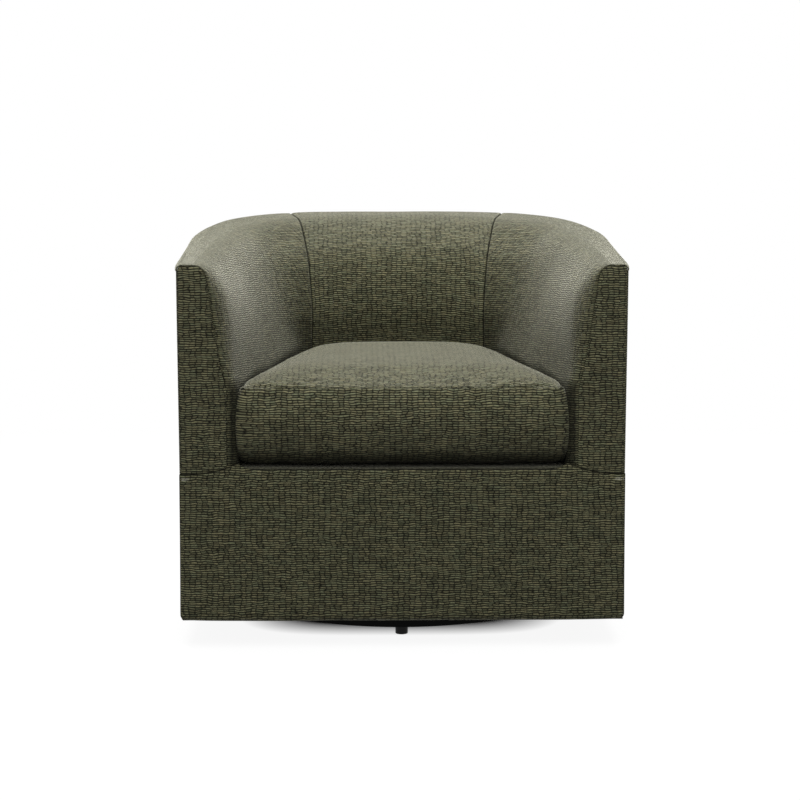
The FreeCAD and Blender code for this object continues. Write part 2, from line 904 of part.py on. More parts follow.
def make_race_screws():
    def screw(x, y):
        shank = cylinder(race_screw_radius, ring_top, lower_race_top + past, x, y)
        head = cylinder(race_screw_head, lower_race_top, lower_race_top + race_screw_head_height, x, y)
        return shank.fuse(head)
    return at_race_screws(screw)


# Pivot pin

def make_pivot_pin():
    head_bottom = board_height + clearance + pin_washer + clearance
    bottom = ring_top - clearance - pin_nut_height - pin_tail
    shank = cylinder(pin_radius, bottom, head_bottom + past)
    return shank.fuse(cylinder(pin_head_radius, head_bottom, head_bottom + pin_head_height))


def make_pivot_washer():
    low = board_height + clearance
    return ring(pin_washer_radius, pin_radius + clearance, low, low + pin_washer)


def make_pivot_nut():
    low = ring_top - clearance - pin_nut_height
    nut = hexagon(pin_nut_width, low, low + pin_nut_height)
    return nut.cut(cylinder(pin_radius + pin_play, 0, board_height))


# Ring base

def make_hub_plate():
    plate = ring(hub_radius, pin_radius + pin_play, ring_top, hub_top)
    hole = race_screw_radius + stem_play
    return plate.cut(at_race_screws(lambda x, y: cylinder(hole, 0, board_height, x, y)))


def at_feet(maker):
    return round_of(foot_count, ring_centre, maker)


def make_base_ring():
    tube = ring(ring_outer, ring_outer - ring_width, ring_bottom, ring_top)
    hollow = ring(ring_outer - ring_wall, ring_outer - ring_width + ring_wall,
                  ring_bottom + ring_wall, ring_top - ring_wall)
    hole = stem_radius + stem_play
    holes = at_feet(lambda x, y: cylinder(hole, 0, ring_bottom + ring_wall + past, x, y))
    return tube.cut(hollow).cut(holes)


def make_base_arms():
    reach = ring_outer - ring_width - weld_gap
    half = arm_tube_width / 2
    tube = box(arm_inner_end, ring_outer, -half, half, ring_bottom, ring_top)
    hollow = box(0, ring_outer + past, -half + ring_wall, half - ring_wall,
                 ring_bottom + ring_wall, ring_top - ring_wall)
    tube = tube.cut(hollow).common(cylinder(reach, 0, board_height))
    copies = [tube.copy() for foot in range(foot_count)]
    for place, copy in enumerate(copies):
        copy.rotate(Vector(0, 0, 0), Vector(0, 0, 1), 360.0 / foot_count * place)
    return Part.makeCompound(copies)


def make_glide_feet():
    def foot(x, y):
        body = cylinder(foot_radius, 0, foot_height, x, y)
        rim = [edge for edge in body.Edges if edge.BoundBox.ZMax < foot_edge]
        body = body.makeFillet(foot_edge, rim)
        socket = cylinder(stem_radius + stem_play, foot_height - foot_socket_depth,
                          foot_height + past, x, y)
        return body.cut(socket)
    return at_feet(foot)


def make_glide_stems():
    low = foot_height - foot_socket_depth + clearance
    return at_feet(lambda x, y: cylinder(stem_radius, low, low + stem_length, x, y))


def make_glide_nuts():
    low = ring_bottom + ring_wall

    def nut(x, y):
        block = hexagon(glide_nut_width, low, low + glide_nut_height, x, y)
        return block.cut(cylinder(stem_radius + stem_play, 0, board_height, x, y))
    return at_feet(nut)


def all_parts():
    """Every node's name with its shape."""
    hull = outer_hull(0.0)
    inner_hull = outer_hull(cloth)
    pad_hull = outer_hull(liner_outside)
    well = seat_well(0.0)
    well_grown = seat_well(cloth)
    well_pad = seat_well(cloth + clearance)

    parts = {}
    covers = make_outside_covers()
    parts["outside_cover_left"], parts["outside_cover_right"], parts["outside_cover_back"] = covers
    covers = make_inside_covers(make_rim_edge(hull, inner_hull), well, well_grown)
    parts["inside_cover_left"], parts["inside_cover_right"], parts["inside_cover_back"] = covers
    pads = make_inside_pads(well_pad, pad_hull)
    parts["arm_pad_left"], parts["arm_pad_right"], parts["back_pad"] = pads
    parts["facing_left"], parts["facing_right"] = make_facings(well, hull)
    parts["facing_pads"] = make_facing_pads(well_pad, pad_hull)
    parts["front_border"] = make_front_border()
    parts["front_pad"] = make_front_pad()
    parts["barrel_liner"] = make_barrel_liner()
    parts["dust_cover"] = make_dust_cover()

    rails = make_bottom_rails()
    parts["bottom_front_rail"], parts["bottom_side_rails"], parts["bottom_back_rail"] = rails
    parts["arm_top_rails"], parts["back_top_rail"] = make_top_rails()
    parts["front_posts"], parts["rear_posts"] = make_posts()
    parts["back_mid_rail"] = make_back_mid_rail()
    parts["seat_front_rail"] = make_seat_front_rail()
    parts["seat_side_rails"] = make_seat_side_rails()
    parts["seat_back_rail"] = make_seat_back_rail()
    parts["corner_blocks"] = make_corner_blocks()

    parts["seat_springs"] = make_springs()
    parts["spring_clips"] = make_spring_clips()
    parts["spring_tie_wires"] = make_tie_wires()
    parts["deck_cloth"], parts["deck_pad"], parts["deck_cover"] = make_deck_layers(
        seat_well_foot(-clearance))
    parts["back_webbing"] = make_back_webbing()

    cushion = make_cushion()
    parts["cushion_core"], parts["cushion_top_panel"], parts["cushion_bottom_panel"] = cushion[:3]
    parts["cushion_boxing"], parts["cushion_zip"] = cushion[3:]

    parts["swivel_board"] = make_swivel_board()
    parts["board_cleats"] = make_board_cleats()
    parts["swivel_top_plate"] = make_top_plate()
    parts["swivel_bolts"] = make_swivel_bolts()
    parts["tee_nuts"] = make_tee_nuts()
    parts["upper_race"] = make_upper_race()
    parts["lower_race"] = make_lower_race()
    parts["bearing_balls"] = make_balls()
    parts["ball_cage"] = make_ball_cage()
    parts["race_screws"] = make_race_screws()
    parts["pivot_pin"] = make_pivot_pin()
    parts["pivot_washer"] = make_pivot_washer()
    parts["pivot_nut"] = make_pivot_nut()
    parts["hub_plate"] = make_hub_plate()
    parts["base_ring"] = make_base_ring()
    parts["base_arms"] = make_base_arms()
    parts["glide_feet"] = make_glide_feet()
    parts["glide_stems"] = make_glide_stems()
    parts["glide_nuts"] = make_glide_nuts()
    return parts


os.makedirs("parts", exist_ok=True)
for name, shape in all_parts().items():
    bounds = shape.optimalBoundingBox(False)
    print(name, "solids", len(shape.Solids), "valid", shape.isValid(), "volume", round(shape.Volume),
          "x", round(bounds.XMin, 1), round(bounds.XMax, 1), "y", round(bounds.YMin, 1),
          round(bounds.YMax, 1), "z", round(bounds.ZMin, 1), round(bounds.ZMax, 1))
    shape.exportStep("parts/" + name + ".step")
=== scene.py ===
import json
import math

import bpy
import numpy as np
from mathutils import Euler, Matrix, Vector, noise


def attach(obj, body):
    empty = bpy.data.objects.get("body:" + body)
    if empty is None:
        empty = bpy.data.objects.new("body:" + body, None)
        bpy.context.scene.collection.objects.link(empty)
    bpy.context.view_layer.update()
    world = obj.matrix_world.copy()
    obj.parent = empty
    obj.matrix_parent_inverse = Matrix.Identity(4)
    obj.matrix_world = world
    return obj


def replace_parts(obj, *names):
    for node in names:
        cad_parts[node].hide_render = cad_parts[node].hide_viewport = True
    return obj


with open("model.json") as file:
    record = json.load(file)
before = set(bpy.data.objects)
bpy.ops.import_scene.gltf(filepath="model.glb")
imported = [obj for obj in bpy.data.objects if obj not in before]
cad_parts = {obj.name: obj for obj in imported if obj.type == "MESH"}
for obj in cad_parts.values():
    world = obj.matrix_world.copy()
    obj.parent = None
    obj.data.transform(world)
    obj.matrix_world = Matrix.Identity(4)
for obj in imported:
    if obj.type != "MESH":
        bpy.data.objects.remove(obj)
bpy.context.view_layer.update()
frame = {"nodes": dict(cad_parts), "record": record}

# The body's sizes, as in the part's source
BODY_HALF_WIDTH = 0.395
BODY_FRONT = -0.400
BODY_BACK = 0.400
HEM = 0.050
RIM_FRONT = 0.684
RIM_BACK = 0.722
RIM_EDGE_RADIUS = 0.009
RIM_TILT = math.atan((RIM_BACK - RIM_FRONT) / (BODY_BACK - BODY_FRONT))

# The outer plan: side, corner and back radius
STRAIGHT_SIDE_END = -0.050
OUTER_RADII = (0.938, 0.246, 1.911)

# The seat well, square to the rim
WELL_HALF_WIDTH = 0.293
WELL_BACK = 0.165
WELL_SIDE_ANGLE = 8.2
WELL_RADII = (4.440, 0.098, 0.360)
WELL_STRAIGHT_TOP = 0.461
WELL_DROPS = (0.012, 0.030, 0.055, 0.080, 0.105, 0.125, 0.140)
ARM_FLARE = 0.049
ARM_ROLL_RADIUS = 0.022
ARM_FLARE_POWER = 1.5
BACK_SWEEP = 0.177
RIM_SIDE_ANGLE = 0.4
RIM_RADII = (3.725, 0.288, 0.594)
SWEEPS = (90, 87.5, *range(85, 24, -3), *np.arange(22.5, -1, -2.5))

# How many points each part of an outline has
RUN_POINTS = 60
FRONT_POINTS = 120
BEND_POINTS = 40
SIDE_POINTS = 240
CORNER_POINTS = 160
EASED_POINTS = 500

# Seams: where they lie, and for each kind how deep it sinks and how dark its painted shade is
ARM_SEAM_X = 0.177
ARM_SEAM_Y = 0.170
ARM_SEAM_SLOPE = 0.2
TOP_SEAM_DROP = 0.013
PLAIN_SEAM = (0.0022, 0.8)
BACK_SEAM = (0.0034, 0.95)
CORNER_SEAM = (0.0008, 0.3)
BORDER_TOP_SEAM = (0.0026, 0.75)
DECK_SEAM = (0.002, 0.8)
FACING_SEAM_DIP = 0.0012
FACING_SEAM_SHADE = 0.35
CUSHION_SEAM_DIP = 0.0014
CUSHION_SEAM_ROLL = 0.0055
CUSHION_SEAM_SHADE = 0.3
SEAM_ROLL = 0.0060
SEAM_HALF_LINE = 0.0006
SEAM_SHADE_WIDTH = 0.0022
CREASE_STEPS = (0.0, 0.0008, 0.0018, 0.0032, 0.0050, 0.0075)

# How far each kind of panel puffs up between its seams, and how uneven it is
ARM_STUFFING = (0.0012, 0.0014)
BACK_STUFFING = (0.0015, 0.0014)
OUTSIDE_STUFFING = (0.0006, 0.0005)
FACING_STUFFING = (0.0020, 0.0008)
BORDER_STUFFING = (0.0020, 0.0010)
DECK_STUFFING = (0.0, 0.0008)
PUFF_REACH = 0.030
SWELL_SCALE = 9.0

# How far the sides draw in at some heights
WAIST_HEIGHTS = (0.05, 0.12, 0.20, 0.31, 0.38, 0.46, 0.60, 0.69)
WAIST_AMOUNTS = (0.0, 0.0006, 0.0011, 0.0015, 0.0013, 0.0009, 0.0002, 0.0)

# Padding of the arms: the rolled front edge, its seam, and the swell behind it
ROLL_LOW = 0.017
ROLL_HIGH = 0.002
ROLL_DEPTH_LOW = 0.026
ROLL_DEPTH_HIGH = 0.065
ROLL_SHARE = 0.6
ROLL_POWER = 2.2
FRONT_ROLL = 0.002
FRONT_ROLL_REACH = 0.006
FRONT_CORNER = 0.0025
FRONT_CORNER_REACH = 0.004
ARM_PADDING = 0.020
ARM_PADDING_RUN = 0.30
ROW_FALL = 0.15
CORNER_EASE = 0.070
CUSHION_TOP = 0.480
# Painted shade beside the cushion and low on the inside arms
FOLD_SHADE = 0.85
LOW_ARM_SHADE = 0.42

# Heights, and distances from the front, between which padding and shade come in or go out
EASE_IN = (0.475, 0.555)
EASE_OUT = (RIM_FRONT + 0.01, RIM_FRONT - 0.04)
ROLL_CHANGE = (0.63, 0.43)
SWELL_IN = (0.466, 0.616)
SWELL_OUT = (0.700, 0.620)
SEAM_SHOWN = (CUSHION_TOP, CUSHION_TOP + 0.1)
FOLD_OUT = (CUSHION_TOP, CUSHION_TOP - 0.012)
FOLD_ALONG = (-0.001, 0.011)
LOW_ARM_SHADE_OUT = (0.70, 0.46)
LOW_ARM_SHADE_ALONG = (0.01, 0.05)

# The hem and the front border, whose seam runs from the outer corner in to the cushion
HEM_ROLL = 0.009
HEM_CORNER = 0.011
HEM_TURNS = (22, 45, 67, 90)
HEM_INSETS = (0.014, 0.020)
SIDE_ROWS = 78
BORDER_ROWS = 35
BORDER_SEAM = ((0.395, 0.3135), (0.375, 0.3138), (0.355, 0.3150), (0.335, 0.3180), (0.315, 0.3235),
               (0.300, 0.3295), (0.293, 0.3325))
LIP_START = 0.270
LIP_ROLL = 0.003
FACING_LOW = 0.334
FACING_BLEND = 0.42
FACING_WIDTH = 0.07

# The deck under the cushion
DECK_TOP = 0.3239
DECK_LIP = 0.110
DECK_EDGE = 0.0035
DECK_SIDE_GAP = 0.0008
DECK_SAG = 0.002
DECK_SAG_REACH = 0.15
DECK_BELOW = 0.0006
# Painted shade on the deck under the cushion, darker at its front edge
DECK_SHADE = 0.35
DECK_FRONT_SHADE = 0.22
DECK_FRONT_OUT = (BODY_FRONT + 0.042, BODY_FRONT + 0.012)
DECK_COUNT = 61
CUSHION_ABOVE = 0.0003

# The loose seat cushion and its zip
CUSHION_FRONT = -0.399
CUSHION_CORNER_RADIUS = 0.014
CUSHION_SIDE_GAP = 0.0006
CUSHION_BULGE = 0.003
CUSHION_LOW_SEAM = 0.3332
CUSHION_HIGH_SEAM = 0.4642
CUSHION_FRONT_BULGE = 0.023
CUSHION_LOW_BULGE = 0.004
CUSHION_SPREAD = 0.007
CUSHION_SPREAD_REACH = 0.03
CUSHION_BOTTOM_DROP = 0.009
CUSHION_BOTTOM_REACH = 0.012
CUSHION_EDGE_RISE = 0.025
CUSHION_EDGE_REACH = 0.038
CUSHION_DOME = 0.004
CUSHION_DOME_REACH = 0.28
CUSHION_DOME_POWER = 2.5
CUSHION_BACK_FALL = 0.013
CUSHION_FALL_IN = (-0.02, 0.18)
CUSHION_FRONT_IN = (CUSHION_FRONT + 0.055, CUSHION_FRONT + 0.010)
# Painted shade under the cushion, where it sits on the deck
CUSHION_UNDER_SHADE = 0.8
CUSHION_UNDER_IN = (0.104, 0.126)
BOXING_TOP_POWER = 2.4
BOXING_LOW_POWER = 3
CUSHION_EDGE_STEPS = (0.0009, 0.0020, 0.0035, 0.0055, 0.0085, 0.013, 0.019)
CUSHION_MOVE_LIMIT = 0.006
CUSHION_FRAMES = 20
CUSHION_FILLING = {"quality": 5, "mass": 0.3, "tension_stiffness": 15, "compression_stiffness": 15,
                   "shear_stiffness": 6, "bending_stiffness": 0.8, "shrink_min": -0.012,
                   "use_pressure": True, "uniform_pressure_force": 4, "vertex_group_mass": "held"}
ZIP_HEIGHT = 0.3987
ZIP_HALF_LENGTH = 0.160
ZIP_HALF_WIDTH = 0.0045
ZIP_DEPTH = 0.003
ZIP_STEP = 0.0005
ZIP_TOOTH = 0.0020
ZIP_RISE = 0.0008
ZIP_ROOM = (0.003, 0.0085)

# Under and inside the frame
DUST_INSET = 0.0023
DUST_HOLE = 0.150
DUST_HEIGHT = 0.0507
DUST_SLACK = 0.0012
DUST_ROWS = 28
DUST_COLUMNS = 240
STRAP_ROWS = 60
STRAP_COLUMNS = 9
STRAP_HALF_WIDTH = 0.025
STRAP_PITCH = 0.085
STRAP_INSET = 0.029
STRAP_LOW = 0.2482
STRAP_HIGH = 0.6970

QUAD = 0.008
FAR = 9.0
TINY = 1e-12
MIRROR = np.array([-1.0, 1.0])
FORWARD = np.array([0.0, -1.0, 0.0])
UP = np.array([0.0, 0.0, 1.0])


# Plans

class Plan:
    """The right half of a horseshoe outline: a straight front run, then a side arc, a corner arc
    and half a back arc, all running on tangent."""

    def __init__(self, half_width, side_start, back, side_angle, radii):
        lean = math.radians(side_angle)
        self.side, self.corner, self.rear = radii
        self.outward = np.array([math.cos(lean), math.sin(lean)])
        self.side_centre = np.array([half_width, side_start]) - self.outward * self.side
        self.back_centre = np.array([0.0, back - self.rear])
        self.corner_centre = self.find_corner_centre()

    def find_corner_centre(self):
        from_side = self.side - self.corner
        from_back = self.rear - self.corner
        apart = self.side_centre - self.back_centre
        length = np.linalg.norm(apart)
        along = (from_back ** 2 - from_side ** 2 + length ** 2) / (2 * length)
        aside = math.sqrt(from_back ** 2 - along ** 2)
        direction = apart / length
        sideways = np.array([-direction[1], direction[0]])
        choices = [self.back_centre + direction * along + sideways * way * aside for way in (1, -1)]
        return max(choices, key=lambda point: point[0] + point[1])

    @staticmethod
    def arc(centre, radius, start, end, count):
        turns = np.linspace(start, end, count)
        return centre + radius * np.stack([np.cos(turns), np.sin(turns)], axis=1)

    @staticmethod
    def angle(vector):
        return math.atan2(vector[1], vector[0])

    def straight_lead(self, radius, front):
        """The run from the front plane to the side arc, and the angle where that arc starts."""
        start = self.side_centre + self.outward * radius
        run = (start[1] - front) / self.outward[0]
        first = np.array([start[0] + run * self.outward[1], front])
        lead = first + (start - first) * np.linspace(0, 1, RUN_POINTS)[:, None]
        return lead, self.angle(self.outward)

    def rounded_lead(self, radius, front, corner_radius):
        """The front from its middle, round the front corner, and the angle where the side starts."""
        rise = front + corner_radius - self.side_centre[1]
        centre = np.array([self.side_centre[0] + math.sqrt((radius - corner_radius) ** 2 - rise ** 2),
                           front + corner_radius])
        start_angle = self.angle(centre - self.side_centre)
        across = np.linspace(0, centre[0], FRONT_POINTS)
        straight = np.column_stack([across, np.full(FRONT_POINTS, front)])
        bend = self.arc(centre, corner_radius, -math.pi / 2, start_angle, BEND_POINTS)
        return np.concatenate([straight[:-1], bend]), start_angle

    def outline(self, inset, front, corner_radius=None):
        """Points from the front at y = front to the middle of the back. A corner radius rounds the
        front corner, and the outline then starts in the middle of the front."""
        side_end = self.angle(self.corner_centre - self.side_centre)
        corner_end = self.angle(self.corner_centre - self.back_centre)
        radius = self.side - inset
        if corner_radius is None:
            lead, start_angle = self.straight_lead(radius, front)
        else:
            lead, start_angle = self.rounded_lead(radius, front, corner_radius)
        return np.concatenate([
            lead[:-1],
            self.arc(self.side_centre, radius, start_angle, side_end, SIDE_POINTS)[:-1],
            self.arc(self.corner_centre, self.corner - inset, side_end, corner_end, CORNER_POINTS)[:-1],
            self.arc(self.back_centre, self.rear - inset, corner_end, math.pi / 2, CORNER_POINTS),
        ])


def lengths_along(points, axis=0):
    """Lengths from the first point along a line, or along the columns or rows of a grid."""
    first = np.take(points, [0], axis=axis)
    steps = np.linalg.norm(np.diff(points, axis=axis, prepend=first), axis=-1)
    return np.cumsum(steps, axis=axis)


def sample(points, distances):
    """Points of a polyline at these distances along it."""
    along = lengths_along(points)
    return np.stack([np.interp(distances, along, points[:, axis]) for axis in range(points.shape[1])],
                    axis=1)


def seam_distance(points):
    """How far along the outline the seam between arm and back lies."""
    side = points[:, 0] - (ARM_SEAM_X + ARM_SEAM_SLOPE * (points[:, 1] - ARM_SEAM_Y))
    index = int(np.argmax(side < 0))
    share = side[index - 1] / (side[index - 1] - side[index])
    along = lengths_along(points)
    return along[index - 1] + share * (along[index] - along[index - 1])


def spaced(length, quad=QUAD, end_crease=True):
    """Distances from 0 to length, close together near creased ends and even between them."""
    start = list(CREASE_STEPS)
    end = [length - step for step in reversed(CREASE_STEPS)] if end_crease else [length]
    count = max(2, int(round((end[0] - start[-1]) / quad)))
    middle = list(np.linspace(start[-1], end[0], count + 1))[1:-1]
    return np.array(start + middle + end)


def stretched(distances, length, end_crease=True):
    """The same spacing fitted to another length: creased ends keep their steps."""
    old = distances[-1]
    edge = CREASE_STEPS[-1]
    kept = 2 * edge if end_crease else edge
    inner = edge + (distances - edge) * (length - kept) / (old - kept)
    out = np.where(distances <= edge, distances, inner)
    return np.where(distances >= old - edge, length - (old - distances), out) if end_crease else out


def whole_outline(half):
    """A right half with its mirror image joined on behind."""
    return np.concatenate([half, half[-2::-1] * MIRROR])


outer_plan = Plan(BODY_HALF_WIDTH, STRAIGHT_SIDE_END, BODY_BACK, 0.0, OUTER_RADII)


def rim_height(y):
    return RIM_FRONT + (y - BODY_FRONT) * math.tan(RIM_TILT)


def xyz(x, y, z):
    """Points from three coordinates, each an array or one number for all."""
    return np.stack(np.broadcast_arrays(x, y, z), axis=-1)


def tilted(plan_points, level):
    """Plan points at a level of the frame square to the rim, as points in space."""
    y = plan_points[:, 1] - BODY_FRONT
    z = level - RIM_FRONT
    cos, sin = math.cos(RIM_TILT), math.sin(RIM_TILT)
    return xyz(plan_points[:, 0], BODY_FRONT + y * cos - z * sin, RIM_FRONT + y * sin + z * cos)


def swept_plan(sweep_angle):
    """The seat well's plan where its profile has swept out by this angle, with its level."""
    turn = math.radians(sweep_angle)
    depth = 1 - math.sin(turn)
    share = 1 - math.cos(turn)
    below_rim = depth * (RIM_FRONT - WELL_STRAIGHT_TOP)
    half_width = WELL_HALF_WIDTH + ARM_FLARE * (1 - depth ** ARM_FLARE_POWER)
    if below_rim < ARM_ROLL_RADIUS:
        rolled = 1 - below_rim / ARM_ROLL_RADIUS
        half_width += ARM_ROLL_RADIUS * (1 - math.sqrt(max(0.0, 1 - rolled ** 2)))
    radii = [low + (high - low) * share for low, high in zip(WELL_RADII, RIM_RADII)]
    plan = Plan(half_width, BODY_FRONT, WELL_BACK + BACK_SWEEP * share,
                WELL_SIDE_ANGLE + (RIM_SIDE_ANGLE - WELL_SIDE_ANGLE) * share, radii)
    return plan, RIM_FRONT - below_rim


# Meshes

def smoothstep(value):
    value = np.clip(value, 0, 1)
    return value * value * (3 - 2 * value)


def ramp(value, start, end):
    """0 before start and 1 after end, or the other way round where end is the smaller."""
    return smoothstep((value - start) / (end - start))


def waist(points):
    """Draws the sides in a little at the height of the border seam."""
    moved = points.copy()
    moved[..., 0] *= 1 - np.interp(points[..., 2], WAIST_HEIGHTS, WAIST_AMOUNTS) / BODY_HALF_WIDTH
    return moved


def grid_normals(points):
    """Unit normals of a grid of points, rows by columns."""
    along_rows = np.gradient(points, axis=0)
    along_columns = np.gradient(points, axis=1)
    normals = np.cross(along_columns, along_rows)
    return normals / np.maximum(np.linalg.norm(normals, axis=-1, keepdims=True), TINY)


def crease(distance, dip, roll=SEAM_ROLL):
    """How far the cloth sinks at this distance from a seam."""
    near = np.clip(1 - distance / roll, 0, 1)
    return dip * (1 - np.sqrt(np.maximum(0.0, 1 - near ** 2)))


def unevenness(points, seed, height, scale):
    """Slow swells of hand-stuffed padding, alike in every run."""
    flat = points.reshape(-1, 3) * scale
    values = [noise.noise(Vector(point) + Vector((seed, 0, 0))) for point in flat]
    return height * np.array(values).reshape(points.shape[:-1])


def arc_uv(points, middle_column=0):
    """Real lengths along a grid: u from a middle column, v up from the last row."""
    u = lengths_along(points, 1)
    v = lengths_along(points)
    return u - u[:, middle_column:middle_column + 1], v[-1:] - v


def edge_distances(points):
    """Distance of each point of a grid from its top, bottom, start and end edges, measured along
    the grid."""
    u = lengths_along(points, 1)
    v = lengths_along(points)
    return v, v[-1:] - v, u, u[:, -1:] - u


def grid_faces(rows, columns, closed=False):
    faces = []
    for row in range(rows - 1):
        for column in range(columns if closed else columns - 1):
            following = (column + 1) % columns
            faces.append((row * columns + column, row * columns + following,
                          (row + 1) * columns + following, (row + 1) * columns + column))
    return faces


def new_object(name, data):
    item = bpy.data.objects.new(name, data)
    bpy.context.scene.collection.objects.link(item)
    return item


def new_mesh(name, vertices, faces, uvs, material, shade=None):
    """An object with one UV pair for each vertex, or one for each face corner. The shade is the
    painted shade of each vertex in seams, folds and crevices, from 0 to 1."""
    mesh = bpy.data.meshes.new(name)
    mesh.from_pydata([tuple(vertex) for vertex in vertices], [], faces)
    layer = mesh.uv_layers.new(name="cloth")
    corners = np.zeros(len(mesh.loops), np.int32)
    mesh.loops.foreach_get("vertex_index", corners)
    pairs = np.asarray(uvs)[corners] if len(uvs) == len(vertices) else np.asarray(uvs)
    layer.data.foreach_set("uv", pairs.astype(np.float32).ravel())
    mesh.polygons.foreach_set("use_smooth", [True] * len(mesh.polygons))
    if shade is not None:
        mesh.attributes.new("seam_shade", "FLOAT", "POINT").data.foreach_set(
            "value", np.asarray(shade, np.float32).ravel())
    mesh.materials.append(material)
    mesh.validate()
    mesh.update()
    return new_object(name, mesh)


def flip_x(points):
    return points * np.array([-1.0, 1.0, 1.0])


def seam_shadow(distance):
    return ramp(distance, SEAM_HALF_LINE + SEAM_SHADE_WIDTH, SEAM_HALF_LINE)


def panel(name, points, uv, material, seams, flip=False, painted_shade=0.0):
    """A cloth panel from a grid of points. Its front is where columns cross rows. Painted shade is
    how much painted shade each point gets in folds and crevices, from 0 to 1."""
    rows, columns = points.shape[:2]
    faces = grid_faces(rows, columns)
    if flip:
        faces = [tuple(reversed(face)) for face in faces]
    pairs = np.stack([uv[0].ravel(), uv[1].ravel()], axis=1)
    shade = np.zeros((rows, columns)) + painted_shade
    for distance, _, dark in seams:
        shade = np.maximum(shade, dark * seam_shadow(distance))
    return new_mesh(name, points.reshape(-1, 3), faces, pairs, material, shade)


def stretched_over(item, points):
    """Measures a cloth panel's distances from its edges along its grid, and keeps nothing."""
    down, _, across, _ = edge_distances(points)


def dress(points, outward, seams, stuffing, seed):
    """Moves a grid of points from the CAD surface to the surface of soft cloth. Each seam is the
    distance from it, how deep it sinks and how much painted shade it gets."""
    puff_height, uneven = stuffing
    nearest = np.min([distance for distance, _, _ in seams], axis=0)
    lift = puff_height * (1 - np.exp(-nearest / PUFF_REACH))
    lift -= np.max([crease(distance, dip) for distance, dip, _ in seams], axis=0)
    lift += unevenness(points, seed, uneven, SWELL_SCALE) * ramp(nearest, 0, PUFF_REACH)
    return points + outward * lift[..., None]


def side_panels(prefix, points, outward, seams, stuffing, seed, uv, material, turned, painted_shade=0.0):
    """Makes the right and the left panel of a pair, and yields the side's name, the panel and its
    points. Turned is the side whose faces are reversed."""
    for side, name in ((1, "right"), (-1, "left")):
        shaped = waist(dress(points, outward, seams, stuffing, seed * side))
        if side == -1:
            shaped = flip_x(shaped)
        item = panel(prefix + name, shaped, (uv[0] * side, uv[1]), material, seams,
                     flip=side == turned, painted_shade=painted_shade)
        yield name, item, shaped


# Inside covers

def well_outline(plan, level):
    """The seat well's outline at a level, in space, with its front end in the front plane."""
    front = BODY_FRONT + (level - RIM_FRONT) * math.tan(RIM_TILT)
    return eased(tilted(plan.outline(0.0, front), level))


def rim_outline(inset, drop):
    """The outer outline, moved in by an inset, at a depth below the rim."""
    points = outer_plan.outline(inset, BODY_FRONT)
    return np.column_stack([points, rim_height(points[:, 1]) - drop])


def inside_rows():
    """Outlines from the seam outside the rim, over the rim and down the well to the deck. None
    stands for the rim's flat, which split_rows fills in."""
    drops = (TOP_SEAM_DROP, TOP_SEAM_DROP - 0.0008, TOP_SEAM_DROP - 0.002, RIM_EDGE_RADIUS)
    rows = [rim_outline(0.0, drop) for drop in drops]
    for turn in range(15, 91, 15):
        angle = math.radians(turn)
        rows.append(rim_outline(RIM_EDGE_RADIUS * (1 - math.cos(angle)),
                                RIM_EDGE_RADIUS * (1 - math.sin(angle))))
    rows.append(None)
    rows += [well_outline(*swept_plan(sweep_angle)) for sweep_angle in SWEEPS]
    plan = swept_plan(0.0)[0]
    return rows + [well_outline(plan, WELL_STRAIGHT_TOP - drop) for drop in WELL_DROPS]


def eased(row):
    """A well outline, with its tight corner eased by the padding where it lies above the cushion."""
    amount = ramp(row[:, 2:], *EASE_IN) * ramp(row[:, 2:], *EASE_OUT)
    whole = np.concatenate([row, flip_x(row[-2::-1])])
    along = lengths_along(whole)
    even = np.linspace(0, along[-1], EASED_POINTS)
    points = sample(whole, even)
    step = even[1]
    reach = int(3 * CORNER_EASE / step)
    weights = np.exp(-0.5 * (np.arange(-reach, reach + 1) * step / CORNER_EASE) ** 2)
    weights /= weights.sum()
    start = 2 * points[0] - points[reach:0:-1]
    end = 2 * points[-1] - points[-2:-reach - 2:-1]
    padded = np.concatenate([start, points, end])
    smooth = np.stack([np.convolve(padded[:, axis], weights, "valid") for axis in range(3)], axis=1)
    soft = sample(smooth, lengths_along(smooth)[-1] * along[:len(row)] / along[-1])
    return row + (soft - row) * amount


def split_rows(rows, part):
    """The rows of one panel, each sampled at the same number of points. The arm runs from the
    front to the seam, and the back from the seam to its middle."""
    samples = []
    spacing = None
    is_arm = part == "arm"
    for row in rows:
        if row is None:
            samples.append(None)
            continue
        seam = seam_distance(row)
        start, end = (0.0, seam) if is_arm else (seam, lengths_along(row)[-1])
        if spacing is None:
            spacing = spaced(end - start, end_crease=is_arm)
        samples.append(sample(row, start + stretched(spacing, end - start, is_arm)))
    filled = []
    for index, row in enumerate(samples):
        if row is not None:
            filled.append(row)
            continue
        first, last = samples[index - 1], samples[index + 1]
        count = max(3, int(np.linalg.norm(last - first, axis=1).mean() / QUAD))
        filled += [first + (last - first) * share for share in np.linspace(0, 1, count + 1)[1:-1]]
    return np.array(filled)


def with_mirror(points):
    """A grid that ends at the middle plane, with its mirror image joined on."""
    return np.concatenate([points, flip_x(points[:, :-1])[:, ::-1]], axis=1)


